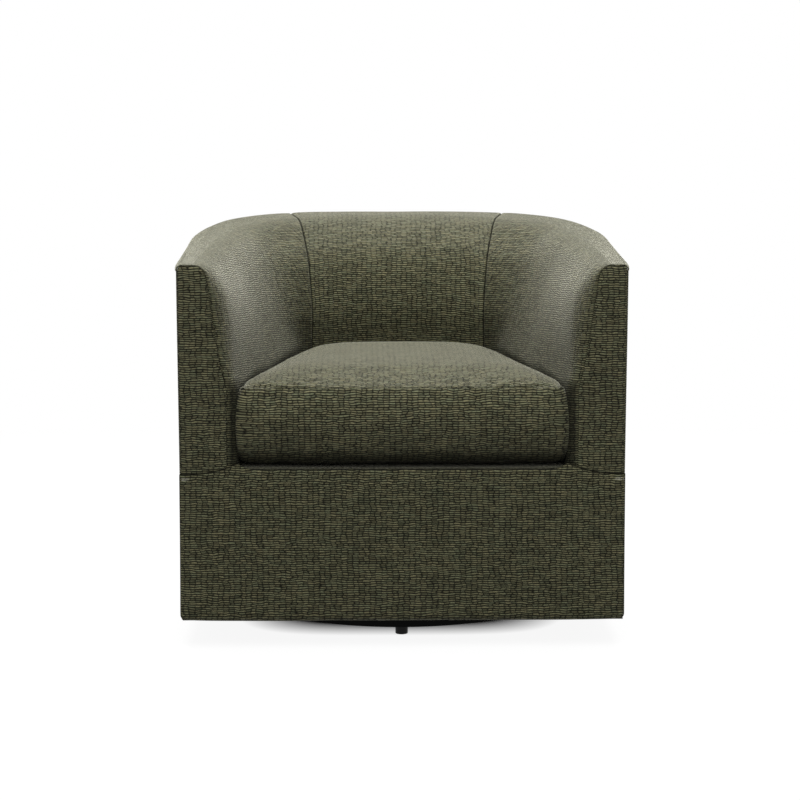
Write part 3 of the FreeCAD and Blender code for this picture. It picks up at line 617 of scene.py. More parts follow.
def roll_arm_front(arm, into_seat, from_front):
    """Rounds the arm's front from the facing's seam into the seat. Beside the cushion the seam lies
    further out, and above it the padding swells into the seat."""
    height = arm[..., 2]
    low = ramp(height, *ROLL_CHANGE)
    seam_out = ROLL_HIGH + (ROLL_LOW - ROLL_HIGH) * low
    swell = ARM_PADDING * ramp(height, *SWELL_IN) * ramp(height, *SWELL_OUT)
    depth = ROLL_DEPTH_HIGH + (ROLL_DEPTH_LOW - ROLL_DEPTH_HIGH) * low
    short = np.clip(1 - from_front / depth, 0, 1)
    rise = ROLL_SHARE * np.sqrt(1 - short ** 2) + (1 - ROLL_SHARE) * (1 - short ** ROLL_POWER)
    gone = ramp(from_front, depth, depth + ARM_PADDING_RUN)
    offset = (seam_out + swell) * rise - seam_out - swell * gone
    level = into_seat * np.array([1.0, 1.0, 0.0])
    level /= np.maximum(np.linalg.norm(level, axis=-1, keepdims=True), 0.3)
    moved = arm + level * offset[..., None]
    moved[..., 1] += FRONT_ROLL * np.exp(-from_front / FRONT_ROLL_REACH)
    return moved


def facing_seam_shade(height):
    """The painted shade of the facing's seam only shows above the cushion."""
    return FACING_SEAM_SHADE * ramp(height, *SEAM_SHOWN)


def make_inside_arms(material, rows):
    """Both inside arms, with the front edge of the right one."""
    arm = split_rows(rows, "arm")
    arm = roll_arm_front(arm, grid_normals(arm), edge_distances(arm)[2])
    across, up = arc_uv(arm)
    middle = up[:, up.shape[1] // 2]
    uv = (across, middle[:, None] + ROW_FALL * (arm[..., 1] - BODY_FRONT))
    top, _, start, end = edge_distances(arm)
    height = arm[..., 2]
    seams = [(top, *PLAIN_SEAM), (start, FACING_SEAM_DIP, facing_seam_shade(height)), (end, *BACK_SEAM)]
    # Painted shade in the crevice beside the cushion
    by_cushion = ramp(height, *FOLD_OUT) * ramp(start, *FOLD_ALONG)
    # Low on the arms the cloth gets painted shade, darker and with less sheen
    low_arm_shade = LOW_ARM_SHADE * ramp(height, *LOW_ARM_SHADE_OUT) * ramp(start, *LOW_ARM_SHADE_ALONG)
    painted_shade = np.maximum(FOLD_SHADE * by_cushion, low_arm_shade)
    made = []
    front_edge = None
    for name, item, shaped in side_panels("inside_arm_", arm, grid_normals(arm), seams, ARM_STUFFING, 3.0,
                                          uv, material, -1, painted_shade):
        if name == "right":
            front_edge = shaped[:, 0]
        made.append(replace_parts(item, "inside_cover_" + name, "arm_pad_" + name))
    return made, front_edge


def back_panel(name, rows, way, side_seam, stuffing, seed, material):
    """A panel across the back, with its points. Way is 1 where it faces the seat and -1 outside."""
    back = with_mirror(split_rows(rows, "back"))
    u, v = arc_uv(back, back.shape[1] // 2)
    top, _, start, end = edge_distances(back)
    seams = [(top, *PLAIN_SEAM), (start, *side_seam), (end, *side_seam)]
    shaped = dress(back, way * grid_normals(back), seams, stuffing, seed)
    return panel(name, shaped, (-u, v), material, seams, flip=way == -1), shaped


def make_inside_covers(material):
    rows = inside_rows()
    made, front_edge = make_inside_arms(material, rows)
    item = back_panel("inside_back", rows, 1, BACK_SEAM, BACK_STUFFING, 7.0, material)[0]
    return made + [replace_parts(item, "inside_cover_back", "back_pad")], front_edge


# Outside covers

def hem_rows():
    """How far in and how high the hem's rows lie, round its roll and in under it."""
    turns = [math.radians(turn) for turn in HEM_TURNS]
    rolled = [(HEM_ROLL * (1 - math.cos(turn)), HEM + HEM_ROLL - HEM_ROLL * math.sin(turn))
              for turn in turns]
    return rolled + [(inset, HEM) for inset in HEM_INSETS]


def outside_rows():
    """Outlines from the seam below the rim down to the hem and in under it."""
    edge = outer_plan.outline(0.0, BODY_FRONT)
    top = rim_height(edge[:, 1]) - TOP_SEAM_DROP
    low = HEM + HEM_ROLL
    heights = [top - step for step in CREASE_STEPS]
    heights += [(top - CREASE_STEPS[-1]) * (1 - share) + low * share
                for share in np.linspace(0, 1, SIDE_ROWS)[1:]]
    rows = [np.column_stack([edge, height]) for height in heights]
    for inset, height in hem_rows():
        points = outer_plan.outline(inset, BODY_FRONT)
        rows.append(xyz(points[:, 0], points[:, 1], height))
    return rows


def make_outside_covers(material):
    rows = outside_rows()
    arm = split_rows(rows, "arm")
    uv = arc_uv(arm)
    outward = -grid_normals(arm)
    top, _, start, end = edge_distances(arm)
    corner = FRONT_CORNER * np.exp(-start / FRONT_CORNER_REACH)
    arm[..., 1] += corner
    arm -= outward * corner[..., None]
    # The top seam fades out towards the front corner
    from_top = top + 0.006 * np.exp(-start / 0.02)
    seams = [(from_top, *PLAIN_SEAM), (start, *CORNER_SEAM), (end, *PLAIN_SEAM)]
    made = []
    for name, item, shaped in side_panels("outside_arm_", arm, outward, seams, OUTSIDE_STUFFING, 11.0,
                                          uv, material, 1):
        stretched_over(item, shaped)
        made.append(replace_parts(item, "outside_cover_" + name))
    item, shaped = back_panel("outside_back", rows, -1, PLAIN_SEAM, OUTSIDE_STUFFING, 17.0, material)
    stretched_over(item, shaped)
    return made + [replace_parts(item, "outside_cover_back")]


# Front of the chair

def rounded_corners(points):
    """Rounds the lower corners of the front border to the roll of the side covers' hems."""
    beyond = np.abs(points[..., 0]) - (BODY_HALF_WIDTH - HEM_CORNER)
    below = HEM + HEM_CORNER - points[..., 2]
    reach = np.hypot(beyond, below)
    inward = np.where((beyond > 0) & (below > 0), np.minimum(1, HEM_CORNER / np.maximum(reach, 1e-9)), 1)
    moved = points.copy()
    moved[..., 0] -= np.sign(points[..., 0]) * beyond * (1 - inward)
    moved[..., 2] += below * (1 - inward)
    return moved


def border_seam_height(half_width):
    widths, heights = np.array(BORDER_SEAM[::-1]).T
    return np.interp(half_width, widths, heights)


def facing_grid(inner, outer):
    """Rows across an arm front, width and height, the lowest bent down to the border seam."""
    top = min(inner[0, 1], outer[0, 1]) - 0.0001
    columns = spaced(FACING_WIDTH, quad=0.006)
    rows = []
    for height in top - spaced(top - FACING_LOW):
        in_x = np.interp(height, inner[::-1, 1], inner[::-1, 0])
        out_x = np.interp(height, outer[::-1, 1], outer[::-1, 0])
        across = in_x + stretched(columns, out_x - in_x)
        rows.append(np.column_stack([across, np.full(len(columns), height)]))
    grid = np.array(rows)
    blend = ramp(grid[..., 1], FACING_BLEND, FACING_LOW)
    grid[..., 1] += blend * (border_seam_height(grid[..., 0]) - FACING_LOW)
    return grid


def make_facings(material, front_edge):
    """The arm fronts, each within the front edge of the inside arm and the outer corner."""
    peak = int(np.argmax(front_edge[:, 2]))
    inner = front_edge[peak:][front_edge[peak:, 2] > 0.325][:, [0, 2]]
    outer = front_edge[:peak + 1][:, [0, 2]][::-1]
    corner_x = BODY_HALF_WIDTH - FRONT_CORNER
    outer = np.concatenate([outer, [[corner_x, outer[-1][1] - 0.01], [corner_x, 0.30]]])
    grid = facing_grid(inner, outer)
    from_inner = nearest_on(grid, np.concatenate([outer[:1], inner]))[0]
    from_outer = nearest_on(grid, outer)[0]
    from_border = nearest_on(grid, np.array(BORDER_SEAM))[0]
    points = xyz(grid[..., 0], BODY_FRONT, grid[..., 1])
    points[..., 1] += FRONT_ROLL * np.exp(-from_inner / FRONT_ROLL_REACH)
    points[..., 1] += FRONT_CORNER * np.exp(-from_outer / FRONT_CORNER_REACH)
    seams = [(from_inner, FACING_SEAM_DIP, facing_seam_shade(grid[..., 1])), (from_outer, *CORNER_SEAM),
             (from_border, *BORDER_TOP_SEAM)]
    made = []
    for name, item, shaped in side_panels("arm_front_", points, FORWARD, seams, FACING_STUFFING, 23.0,
                                          (grid[..., 0], grid[..., 1]), material, 1):
        stretched_over(item, shaped)
        made.append(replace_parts(item, "facing_" + name))
    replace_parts(made[0], "facing_pads")
    return made


def make_front_border(material):
    """The panel below the cushion. Its top edge runs level with the deck under the cushion and
    meets the facings' seams beside it."""
    widths = spaced(2 * BODY_HALF_WIDTH) - BODY_HALF_WIDTH
    low = HEM + HEM_ROLL
    beside = ramp(np.abs(widths), LIP_START, WELL_HALF_WIDTH)
    seam_height = border_seam_height(np.maximum(np.abs(widths), WELL_HALF_WIDTH))
    top = (DECK_TOP - 0.001) * (1 - beside) + seam_height * beside
    heights = [top - step for step in CREASE_STEPS]
    heights += [low + (top - low) * share for share in np.linspace(0, 1, BORDER_ROWS)[-2::-1]]
    rows = [xyz(widths, BODY_FRONT, height) for height in heights]
    rows += [xyz(widths, BODY_FRONT + inset, height) for inset, height in hem_rows()]
    points = np.array(rows)
    uv = arc_uv(points, points.shape[1] // 2)
    from_top, _, start, end = edge_distances(points)
    seams = [(from_top, *BORDER_TOP_SEAM), (start, *CORNER_SEAM), (end, *CORNER_SEAM)]
    shaped = dress(points, -grid_normals(points), seams, BORDER_STUFFING, 31.0)
    shaped[..., 1] += FRONT_CORNER * np.exp(-np.minimum(start, end) / FRONT_CORNER_REACH)
    # Under the cushion the top edge rolls back over the front rail
    in_lip = 1 - beside
    rolled = np.clip(1 - from_top / LIP_ROLL, 0, 1)
    shaped[..., 1] += in_lip * LIP_ROLL * 0.8 * (1 - np.sqrt(np.maximum(0, 1 - rolled ** 2)))
    # Painted shade along the border's top edge under the cushion
    painted_shade = in_lip * ramp(from_top, LIP_ROLL, 0.0005)
    item = panel("front_border_cloth", waist(rounded_corners(shaped)), uv, material, seams, flip=True,
                 painted_shade=painted_shade)
    stretched_over(item, shaped)
    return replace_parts(item, "front_border", "front_pad")


# Loose seat cushion

def cushion_outline():
    """Right half of the seam outline, from the middle of the front to the middle of the back."""
    lean = math.radians(WELL_SIDE_ANGLE)
    moved = (RIM_FRONT - CUSHION_HIGH_SEAM) * math.sin(RIM_TILT)
    inset = CUSHION_SIDE_GAP + CUSHION_BULGE
    radii = [radius - inset for radius in WELL_RADII]
    plan = Plan(WELL_HALF_WIDTH - inset * math.cos(lean), BODY_FRONT + moved - inset * math.sin(lean),
                WELL_BACK + moved - inset, WELL_SIDE_ANGLE, radii)
    return plan.outline(0.0, CUSHION_FRONT + CUSHION_FRONT_BULGE, CUSHION_CORNER_RADIUS)


def patch(front, right, back):
    """A grid between a front, two sides that mirror each other and a back, rows from the front."""
    left = right * MIRROR
    across = lengths_along(front) / lengths_along(front)[-1]
    along = lengths_along(right) / lengths_along(right)[-1]
    s, t = np.meshgrid(across, along)
    s, t = s[..., None], t[..., None]
    sides = (1 - s) * left[:, None] + s * right[:, None]
    ends = (1 - t) * front[None] + t * back[None]
    corners = ((1 - s) * (1 - t) * front[0] + s * (1 - t) * front[-1]
               + (1 - s) * t * back[0] + s * t * back[-1])
    return sides + ends - corners


def back_side(half, corner, shares):
    """The back of an outline, from its left corner to its right one."""
    length = 2 * (lengths_along(half)[-1] - corner)
    return sample(whole_outline(half), corner + shares * length)[::-1]


def edge_spacing(length):
    """Distances along a side of the cushion, close together near its ends."""
    near = list(CUSHION_EDGE_STEPS)
    count = max(2, int(round((length - 2 * near[-1]) / QUAD)))
    middle = list(np.linspace(near[-1], length - near[-1], count + 1))[1:-1]
    return np.array([0.0] + near + middle + [length - step for step in reversed(near)] + [length])


def cushion_plan_grid():
    half = cushion_outline()
    along = lengths_along(half)
    front_corner = along[int(np.argmax(half[:, 0] - half[:, 1]))]
    back_corner = along[int(np.argmax(half[:, 0] + half[:, 1]))]
    loop = np.concatenate([half[:0:-1] * MIRROR, half])
    across = edge_spacing(2 * front_corner)
    front = sample(loop, along[-1] - front_corner + across)
    right = sample(half, front_corner + edge_spacing(back_corner - front_corner))
    return patch(front, right, back_side(half, back_corner, across / across[-1])), half


def outline_loop(rows, columns):
    """Index of each point on the edge of a grid, once round from the middle of the front."""
    middle = columns // 2
    loop = [(0, column) for column in range(middle, columns)]
    loop += [(row, columns - 1) for row in range(1, rows)]
    loop += [(rows - 1, column) for column in range(columns - 2, -1, -1)]
    loop += [(row, 0) for row in range(rows - 2, -1, -1)]
    loop += [(0, column) for column in range(1, middle)]
    return np.array([row * columns + column for row, column in loop])


def nearest_on(points, line):
    """Distance of each plan point to a line, and the place on the line nearest to it."""
    best = np.full(points.shape[:-1], FAR)
    target = np.zeros(points.shape)
    for start, end in zip(line[:-1], line[1:]):
        run = end - start
        share = np.clip(((points - start) @ run) / max(float(run @ run), TINY), 0, 1)
        place = start + share[..., None] * run
        gap = np.linalg.norm(points - place, axis=-1)
        closer = gap < best
        best = np.where(closer, gap, best)
        target = np.where(closer[..., None], place, target)
    return best, target


def cushion_spread(y):
    """How much wider the cushion is near its front, where the arms roll away from it."""
    return CUSHION_SPREAD * np.exp(np.minimum(0, CUSHION_FRONT + 0.01 - y) / CUSHION_SPREAD_REACH)


def near_front(y):
    """1 at the cushion's front and 0 from 55 mm behind it."""
    return ramp(y, *CUSHION_FRONT_IN)


def crown(distance):
    edge = CUSHION_EDGE_RISE * (1 - np.exp(-distance / CUSHION_EDGE_REACH))
    dome = 1 - (1 - np.clip(distance / CUSHION_DOME_REACH, 0, 1)) ** CUSHION_DOME_POWER
    return edge + CUSHION_DOME * dome


def belly(distance):
    return CUSHION_BOTTOM_DROP * (1 - np.exp(-distance / CUSHION_BOTTOM_REACH))


def closed_outline(half, step=4):
    right = half[::step]
    return np.concatenate([right, right[::-1] * MIRROR, right[:1]])


def seam_normals(loop):
    """Outward plan normals of a closed line that runs anticlockwise from above."""
    ahead = np.roll(loop, -1, axis=0) - np.roll(loop, 1, axis=0)
    normals = np.stack([ahead[:, 1], -ahead[:, 0]], axis=1)
    return normals / np.linalg.norm(normals, axis=1, keepdims=True)


def let_out(distance):
    """How far a point of the top's flat pattern moves out, as the top curves over its edge."""
    table = np.linspace(0, 0.3, 600)
    slopes = np.gradient(crown(table), table)
    extra = np.concatenate([[0], np.cumsum((np.sqrt(1 + slopes[1:] ** 2) - 1) * np.diff(table))])
    return np.interp(distance, table, extra[-1] - extra)


def boxing_rings(seam, levels):
    """Rings of the boxing at depths below the top seam, fullest at the front."""
    height = CUSHION_HIGH_SEAM - CUSHION_LOW_SEAM
    normals = seam_normals(seam)
    front = near_front(seam[:, 1])
    side_bulge = CUSHION_BULGE + cushion_spread(seam[:, 1])
    bulge = side_bulge + (CUSHION_FRONT_BULGE - side_bulge) * front
    rings = []
    for level in levels:
        below_middle = 2 * level / height - 1
        if below_middle < 0:
            amount = bulge * (1 - abs(below_middle) ** BOXING_TOP_POWER)
        else:
            amount = bulge - (bulge - front * CUSHION_LOW_BULGE) * below_middle ** BOXING_LOW_POWER
        place = seam + normals * amount[:, None]
        rings.append(xyz(place[:, 0], place[:, 1], CUSHION_HIGH_SEAM - level))
    return rings


def cushion_faces(shape, loop, seam, levels, top_uv, bottom_uv):
    """Faces and face corners' UV pairs of the top, the bottom and the boxing between them."""
    rows, columns = shape
    count = rows * columns
    faces, uvs = [], []
    for face in grid_faces(rows, columns):
        faces.append(face)
        uvs += [top_uv[index] for index in face]
        faces.append(tuple(index + count for index in reversed(face)))
        uvs += [bottom_uv[index] for index in reversed(face)]
    around = lengths_along(seam)
    total = around[-1] + np.linalg.norm(seam[0] - seam[-1])
    rings = [2 * count + number * len(loop) + np.arange(len(loop)) for number in range(len(levels))]
    rings = [loop] + rings + [loop + count]
    drops = [0.0, *levels, CUSHION_HIGH_SEAM - CUSHION_LOW_SEAM]
    for upper in range(len(rings) - 1):
        for place in range(len(loop)):
            following = (place + 1) % len(loop)
            left_u, right_u = around[place], around[following] if following else total
            face = (rings[upper][place], rings[upper + 1][place], rings[upper + 1][following],
                    rings[upper][following])
            faces.append(tuple(int(index) for index in face))
            uvs += [(left_u, -drops[upper]), (left_u, -drops[upper + 1]), (right_u, -drops[upper + 1]),
                    (right_u, -drops[upper])]
    return faces, uvs


def make_cushion(material):
    """One closed cover of three panels: the crowned top, the boxing and the bottom."""
    plan, half = cushion_plan_grid()
    shape = plan.shape[:2]
    outline = closed_outline(half)
    distance = nearest_on(plan, outline)[0]
    # Out points from each plan point to the nearest place of a line 10 mm outside the seam
    around_it = outline[:-1] + seam_normals(outline[:-1]) * 0.010
    out = nearest_on(plan, np.concatenate([around_it, around_it[:1]]))[1] - plan
    out /= np.linalg.norm(out, axis=-1, keepdims=True)
    top = np.concatenate([plan, CUSHION_HIGH_SEAM + crown(distance)[..., None]], axis=-1)
    top[..., 2] -= CUSHION_BACK_FALL * ramp(plan[..., 1], *CUSHION_FALL_IN)
    low_front = near_front(plan[..., 1:]) * CUSHION_LOW_BULGE
    bottom_plan = plan + out * low_front * np.exp(-distance[..., None] / 0.03)
    bottom = np.concatenate([bottom_plan, CUSHION_LOW_SEAM - belly(distance)[..., None]], axis=-1)
    top_uv = (plan + out * let_out(distance)[..., None]).reshape(-1, 2)
    bottom_uv = (plan * MIRROR).reshape(-1, 2)
    loop = outline_loop(*shape)
    seam = plan.reshape(-1, 2)[loop]
    height = CUSHION_HIGH_SEAM - CUSHION_LOW_SEAM
    levels = spaced(height)[1:-1]
    vertices = np.concatenate([top.reshape(-1, 3), bottom.reshape(-1, 3), *boxing_rings(seam, levels)])
    faces, uvs = cushion_faces(shape, loop, seam, levels, top_uv, bottom_uv)
    from_seam = np.concatenate([distance.ravel(), distance.ravel(),
                                *[np.full(len(loop), min(level, height - level)) for level in levels]])
    # The bottom and the boxing's lowest part, between cushion and deck, get painted shade
    under = [np.full(len(loop), CUSHION_UNDER_SHADE * ramp(level, *CUSHION_UNDER_IN)) for level in levels]
    shade = np.concatenate([np.zeros(distance.size), np.full(distance.size, CUSHION_UNDER_SHADE), *under])
    shade = np.maximum(shade, CUSHION_SEAM_SHADE * seam_shadow(from_seam))
    item = new_mesh("seat_cushion", vertices, faces, uvs, material, shade)
    inflate(item, np.concatenate([loop, loop + distance.size]))
    pull_seams(item, from_seam)
    keep_in_well(item)
    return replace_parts(item, "cushion_core", "cushion_top_panel", "cushion_bottom_panel",
                       "cushion_boxing")


def values_of(mesh, kind):
    """The places or the normals of a mesh's vertices."""
    flat = np.zeros(len(mesh.vertices) * 3, np.float32)
    mesh.vertices.foreach_get(kind, flat)
    return flat.reshape(-1, 3).astype(float)


def set_places(mesh, places):
    mesh.vertices.foreach_set("co", places.astype(np.float32).ravel())
    mesh.update()


def inflate(item, seams):
    """Fills the cover with air pressure while its seams hold, and keeps a part of the movement."""
    scene = bpy.context.scene
    group = item.vertex_groups.new(name="held")
    group.add([int(index) for index in seams], 1.0, "REPLACE")
    modifier = item.modifiers.new("filling", "CLOTH")
    for name, value in CUSHION_FILLING.items():
        setattr(modifier.settings, name, value)
    modifier.settings.effector_weights.gravity = 0
    modifier.point_cache.frame_start = 1
    modifier.point_cache.frame_end = CUSHION_FRAMES
    before = values_of(item.data, "co")
    for frame_number in range(1, CUSHION_FRAMES + 1):
        scene.frame_set(frame_number)
    settled = item.evaluated_get(bpy.context.evaluated_depsgraph_get())
    move = values_of(settled.data, "co") - before
    item.modifiers.remove(modifier)
    item.vertex_groups.remove(group)
    scene.frame_set(1)
    length = np.linalg.norm(move, axis=1, keepdims=True)
    kept = move * np.minimum(1, CUSHION_MOVE_LIMIT / np.maximum(length, 1e-9))
    set_places(item.data, before + kept)


def pull_seams(item, from_seam):
    """Sinks the cover along its seams."""
    dip = crease(from_seam, CUSHION_SEAM_DIP, CUSHION_SEAM_ROLL)
    normals = values_of(item.data, "normal")
    set_places(item.data, values_of(item.data, "co") - normals * dip[:, None])


def keep_in_well(item):
    """Holds the cushion's sides and back just clear of the arms, its bottom on the deck, and a
    shallow channel open for the zip."""
    places = values_of(item.data, "co")
    plan = swept_plan(0.0)[0]
    lean = np.sin(RIM_TILT) * (RIM_FRONT - places[:, 2])
    by_zip = ((np.abs(places[:, 0]) < ZIP_HALF_LENGTH + ZIP_ROOM[0]) & (places[:, 1] > 0)
              & (np.abs(places[:, 2] - ZIP_HEIGHT) < ZIP_ROOM[1]))
    flat = np.stack([np.abs(places[:, 0]), places[:, 1] - lean], axis=1)
    middle = np.array([plan.back_centre[0], plan.corner_centre[1]])
    for inset, chosen in ((CUSHION_SIDE_GAP, True), (CUSHION_SIDE_GAP + ZIP_DEPTH, by_zip)):
        limit = plan.outline(inset, CUSHION_FRONT - 0.05)
        limit[:, 0] += cushion_spread(limit[:, 1])
        target = nearest_on(flat, np.concatenate([limit[::4], limit[-1:]]))[1]
        outside = np.sum((flat - target) * (middle - target), axis=1) < 0
        flat = np.where((outside & chosen)[:, None], target, flat)
    places[:, 0] = np.sign(places[:, 0]) * flat[:, 0]
    places[:, 1] = flat[:, 1] + lean
    places[:, 2] = np.maximum(places[:, 2], DECK_TOP + CUSHION_ABOVE)
    set_places(item.data, places)


def make_zip(material):
    """The zip across the cushion's back: two tapes and the coil between them."""
    plan = swept_plan(0.0)[0].outline(CUSHION_SIDE_GAP + ZIP_DEPTH / 2, BODY_FRONT)
    back = plan[plan[:, 1] > 0][::-1]
    reach = np.interp(ZIP_HALF_LENGTH, back[:, 0], lengths_along(back))
    places = np.linspace(-reach, reach, 2 * int(reach / ZIP_STEP) + 1)
    line = sample(back, np.abs(places))
    line[:, 0] *= np.where(places < 0, -1.0, 1.0)
    ahead = np.gradient(line, axis=0)
    outward = np.stack([-ahead[:, 1], ahead[:, 0]], axis=1)
    outward /= np.linalg.norm(outward, axis=1, keepdims=True)
    lean = math.sin(RIM_TILT) * (RIM_FRONT - ZIP_HEIGHT)
    heights = np.linspace(1, -1, 19)[:, None]
    coil = np.sqrt(np.maximum(0, 1 - (heights / 0.32) ** 2))
    teeth = 0.55 + 0.45 * np.abs(np.sin(places / ZIP_TOOTH * math.pi))
    level = line[None] + outward[None] * (ZIP_RISE * coil * teeth)[..., None]
    points = xyz(level[..., 0], level[..., 1] + lean, ZIP_HEIGHT + heights * ZIP_HALF_WIDTH)
    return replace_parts(panel("cushion_zip_coil", points, arc_uv(points), material, []), "cushion_zip")


# Deck under the cushion

def make_deck(cloth, lining):
    """The front of the deck in the chair's cloth, and the dark lining behind it, sewn together."""
    half = swept_plan(0.0)[0].outline(DECK_SIDE_GAP, BODY_FRONT)
    half[:, 1] += (RIM_FRONT - DECK_TOP) * math.sin(RIM_TILT)
    half = half[half[:, 1] > BODY_FRONT + DECK_EDGE]
    half = np.concatenate([[[half[0, 0], BODY_FRONT + DECK_EDGE]], half])
    corner = lengths_along(half)[int(np.argmax(half[:, 0] + half[:, 1]))]
    shares = np.linspace(0, 1, DECK_COUNT)
    right = sample(half, corner * shares)
    left_end = right[0] * MIRROR
    front = left_end + (right[0] - left_end) * shares[:, None]
    plan = patch(front, right, back_side(half, corner, shares))
    from_edge = nearest_on(plan, whole_outline(half))[0]
    height = DECK_TOP - DECK_BELOW - DECK_SAG * ramp(from_edge, 0, DECK_SAG_REACH)
    points = np.concatenate([plan, height[..., None]], axis=-1)
    seam_row = int(np.argmax(right[:, 1] > BODY_FRONT + DECK_LIP))
    made = []
    for name, part, material, seam_end in (("deck_front_cloth", points[:seam_row + 1], cloth, 1),
                                           ("deck_lining", points[seam_row:], lining, 0)):
        seams = [(edge_distances(part)[seam_end], *DECK_SEAM)]
        shaped = dress(part, UP, seams, DECK_STUFFING, 41.0)
        # Painted shade on the deck under the cushion, deepest at the front edge where the cushion rests on
        # it
        painted_shade = DECK_SHADE + DECK_FRONT_SHADE * ramp(part[..., 1], *DECK_FRONT_OUT)
        item = panel(name, shaped, (part[..., 0], part[..., 1]), material, seams, painted_shade=painted_shade)
        stretched_over(item, shaped)
        made.append(item)
    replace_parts(made[0], "deck_cover")
    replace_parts(made[1], "deck_pad", "deck_cloth")
    return made


# Dust cover and back straps


def make_dust_cover(material):
    """Thin black cloth stretched under the frame, with a round hole for the swivel."""
    rim = closed_outline(outer_plan.outline(DUST_INSET, BODY_FRONT + DUST_INSET))
    edge = sample(rim, np.linspace(0, lengths_along(rim)[-1], DUST_COLUMNS + 1))[:-1]
    ring = DUST_HOLE * edge / np.linalg.norm(edge, axis=1, keepdims=True)
    shares = np.linspace(0, 1, DUST_ROWS)[:, None, None]
    plan = edge[None] * (1 - shares) + ring[None] * shares
    points = xyz(plan[..., 0], plan[..., 1], DUST_HEIGHT)
    slack = ramp(shares[..., 0], 0, 0.3) * ramp(shares[..., 0], 1, 0.8)
    points[..., 2] += slack * unevenness(points, 47.0, DUST_SLACK, 14.0)
    faces = [tuple(reversed(face)) for face in grid_faces(*points.shape[:2], closed=True)]
    item = new_mesh("dust_cover_cloth", points.reshape(-1, 3), faces, points[..., :2].reshape(-1, 2),
                    material)
    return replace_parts(item, "dust_cover")


def make_back_straps(material):
    """Five woven straps pulled tight up the inside of the back."""
    plan = outer_plan.outline(STRAP_INSET, BODY_FRONT)
    back = plan[plan[:, 1] > 0][::-1]
    heights = np.linspace(STRAP_HIGH, STRAP_LOW, STRAP_ROWS)
    vertices, faces, uvs = [], [], []
    for strap in range(-2, 3):
        across = strap * STRAP_PITCH + np.linspace(-STRAP_HALF_WIDTH, STRAP_HALF_WIDTH, STRAP_COLUMNS)
        depth = np.interp(np.abs(across), back[:, 0], back[:, 1])
        start = len(vertices)
        for height in heights:
            vertices += [(x, y, height) for x, y in zip(across, depth)]
            uvs += [(x, height) for x in across]
        faces += [tuple(start + index for index in face) for face in grid_faces(STRAP_ROWS, STRAP_COLUMNS)]
    item = new_mesh("back_straps", vertices, faces, uvs, material)
    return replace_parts(item, "back_webbing")


# Materials

def nodes_of(material):
    """The material's node tree, emptied, with one shader joined to its output."""
    material.use_nodes = True
    tree = material.node_tree
    for node in list(tree.nodes):
        tree.nodes.remove(node)
    output = tree.nodes.new("ShaderNodeOutputMaterial")
    shader = tree.nodes.new("ShaderNodeBsdfPrincipled")
    tree.links.new(shader.outputs[0], output.inputs[0])
    return tree, shader


class Nodes:
    """Short calls for building a node tree."""

    def __init__(self, tree):
        self.tree = tree

    def put(self, socket, value):
        if isinstance(value, bpy.types.NodeSocket):
            self.tree.links.new(value, socket)
        else:
            socket.default_value = value

    def add(self, kind, *values):
        """A node with its first inputs set."""
        node = self.tree.nodes.new("ShaderNode" + kind)
        for socket, value in zip(node.inputs, values):
            self.put(socket, value)
        return node

    def fill(self, node, **values):
        """Sets inputs of a node by name."""
        for name, value in values.items():
            self.put(node.inputs[name.replace("_", " ")], value)
        return node

    def math(self, operation, first, second=0.0, third=0.0, clamp=False):
        node = self.add("Math", first, second, third)
        node.operation = operation
        node.use_clamp = clamp
        return node.outputs[0]

    def vector(self, operation, first, second):
        node = self.add("VectorMath", first, second)
        node.operation = operation
        return node.outputs[0]

    def noise(self, vector, scale, detail=2.0):
        node = self.fill(self.add("TexNoise"), Vector=vector, Scale=scale, Detail=detail, Roughness=0.5)
        return node.outputs["Fac"]

    def random(self, x, y, z=0.0):
        node = self.add("TexWhiteNoise")
        node.noise_dimensions = "3D"
        return self.fill(node, Vector=self.add("CombineXYZ", x, y, z).outputs[0]).outputs["Value"]

    def split(self, vector):
        return self.add("SeparateXYZ", vector).outputs

    def coordinates(self, kind):
        return self.add("TexCoord").outputs[kind]

    def ramp(self, factor, stops):
        node = self.add("ValToRGB", factor)
        elements = node.color_ramp.elements
        while len(elements) < len(stops):
            elements.new(0.5)
        for element, (place, colour) in zip(elements, stops):
            element.position = place
            element.color = (*colour, 1)
        return node.outputs[0]

    def mix(self, factor, first, second):
        node = self.tree.nodes.new("ShaderNodeMix")
        node.data_type = "RGBA"
        self.put(node.inputs[0], factor)
        for socket, value in ((node.inputs[6], first), (node.inputs[7], second)):
            self.put(socket, (*value, 1) if isinstance(value, tuple) else value)
        return node.outputs[2]

    def bump(self, height, distance):
        return self.fill(self.add("Bump"), Strength=1.0, Distance=distance, Height=height).outputs[0]


def linear(red, green, blue):
    """An sRGB colour from 0 to 255 as linear numbers."""
    out = []
    for value in (red, green, blue):
        value /= 255
        out.append(value / 12.92 if value <= 0.04045 else ((value + 0.055) / 1.055) ** 2.4)
    return tuple(out)


# The upholstery cloth: short raised dashes of yarn in even rows
DASH_LENGTH = 0.0100
DASH_ROW = 0.0041
DASH_STAGGER = 0.40
DASH_ROUND_POWER = 2.0
DASH_END_POWER = 7.0
DASH_SHOWN_POWER = 2.5
DASH_JOINED = (0.30, 0.50)
DASH_END_GAP = (0.45, 0.40)
WOBBLE_ALONG = (85.0, 0.0110)
WOBBLE_ACROSS = (45.0, 0.0060)
FIBRE_SCALE = 900.0
PATCH_SCALE = 26.0
CLOTH_BUMP = 0.0012
# The colour between the dashes, and of painted shade
CLOTH_DARK = linear(13, 13, 8)
CLOTH_OLIVE = linear(112, 111, 84)
CLOTH_GREEN = linear(106, 110, 85)
CLOTH_WARM = linear(121, 116, 87)
CLOTH_FUZZ = linear(226, 224, 208)


def wobble(make, place, scale, amount):
    """A slow shift, to both sides by half the amount."""
    return make.math("MULTIPLY_ADD", make.noise(place, scale, 1.0), amount, -amount / 2)


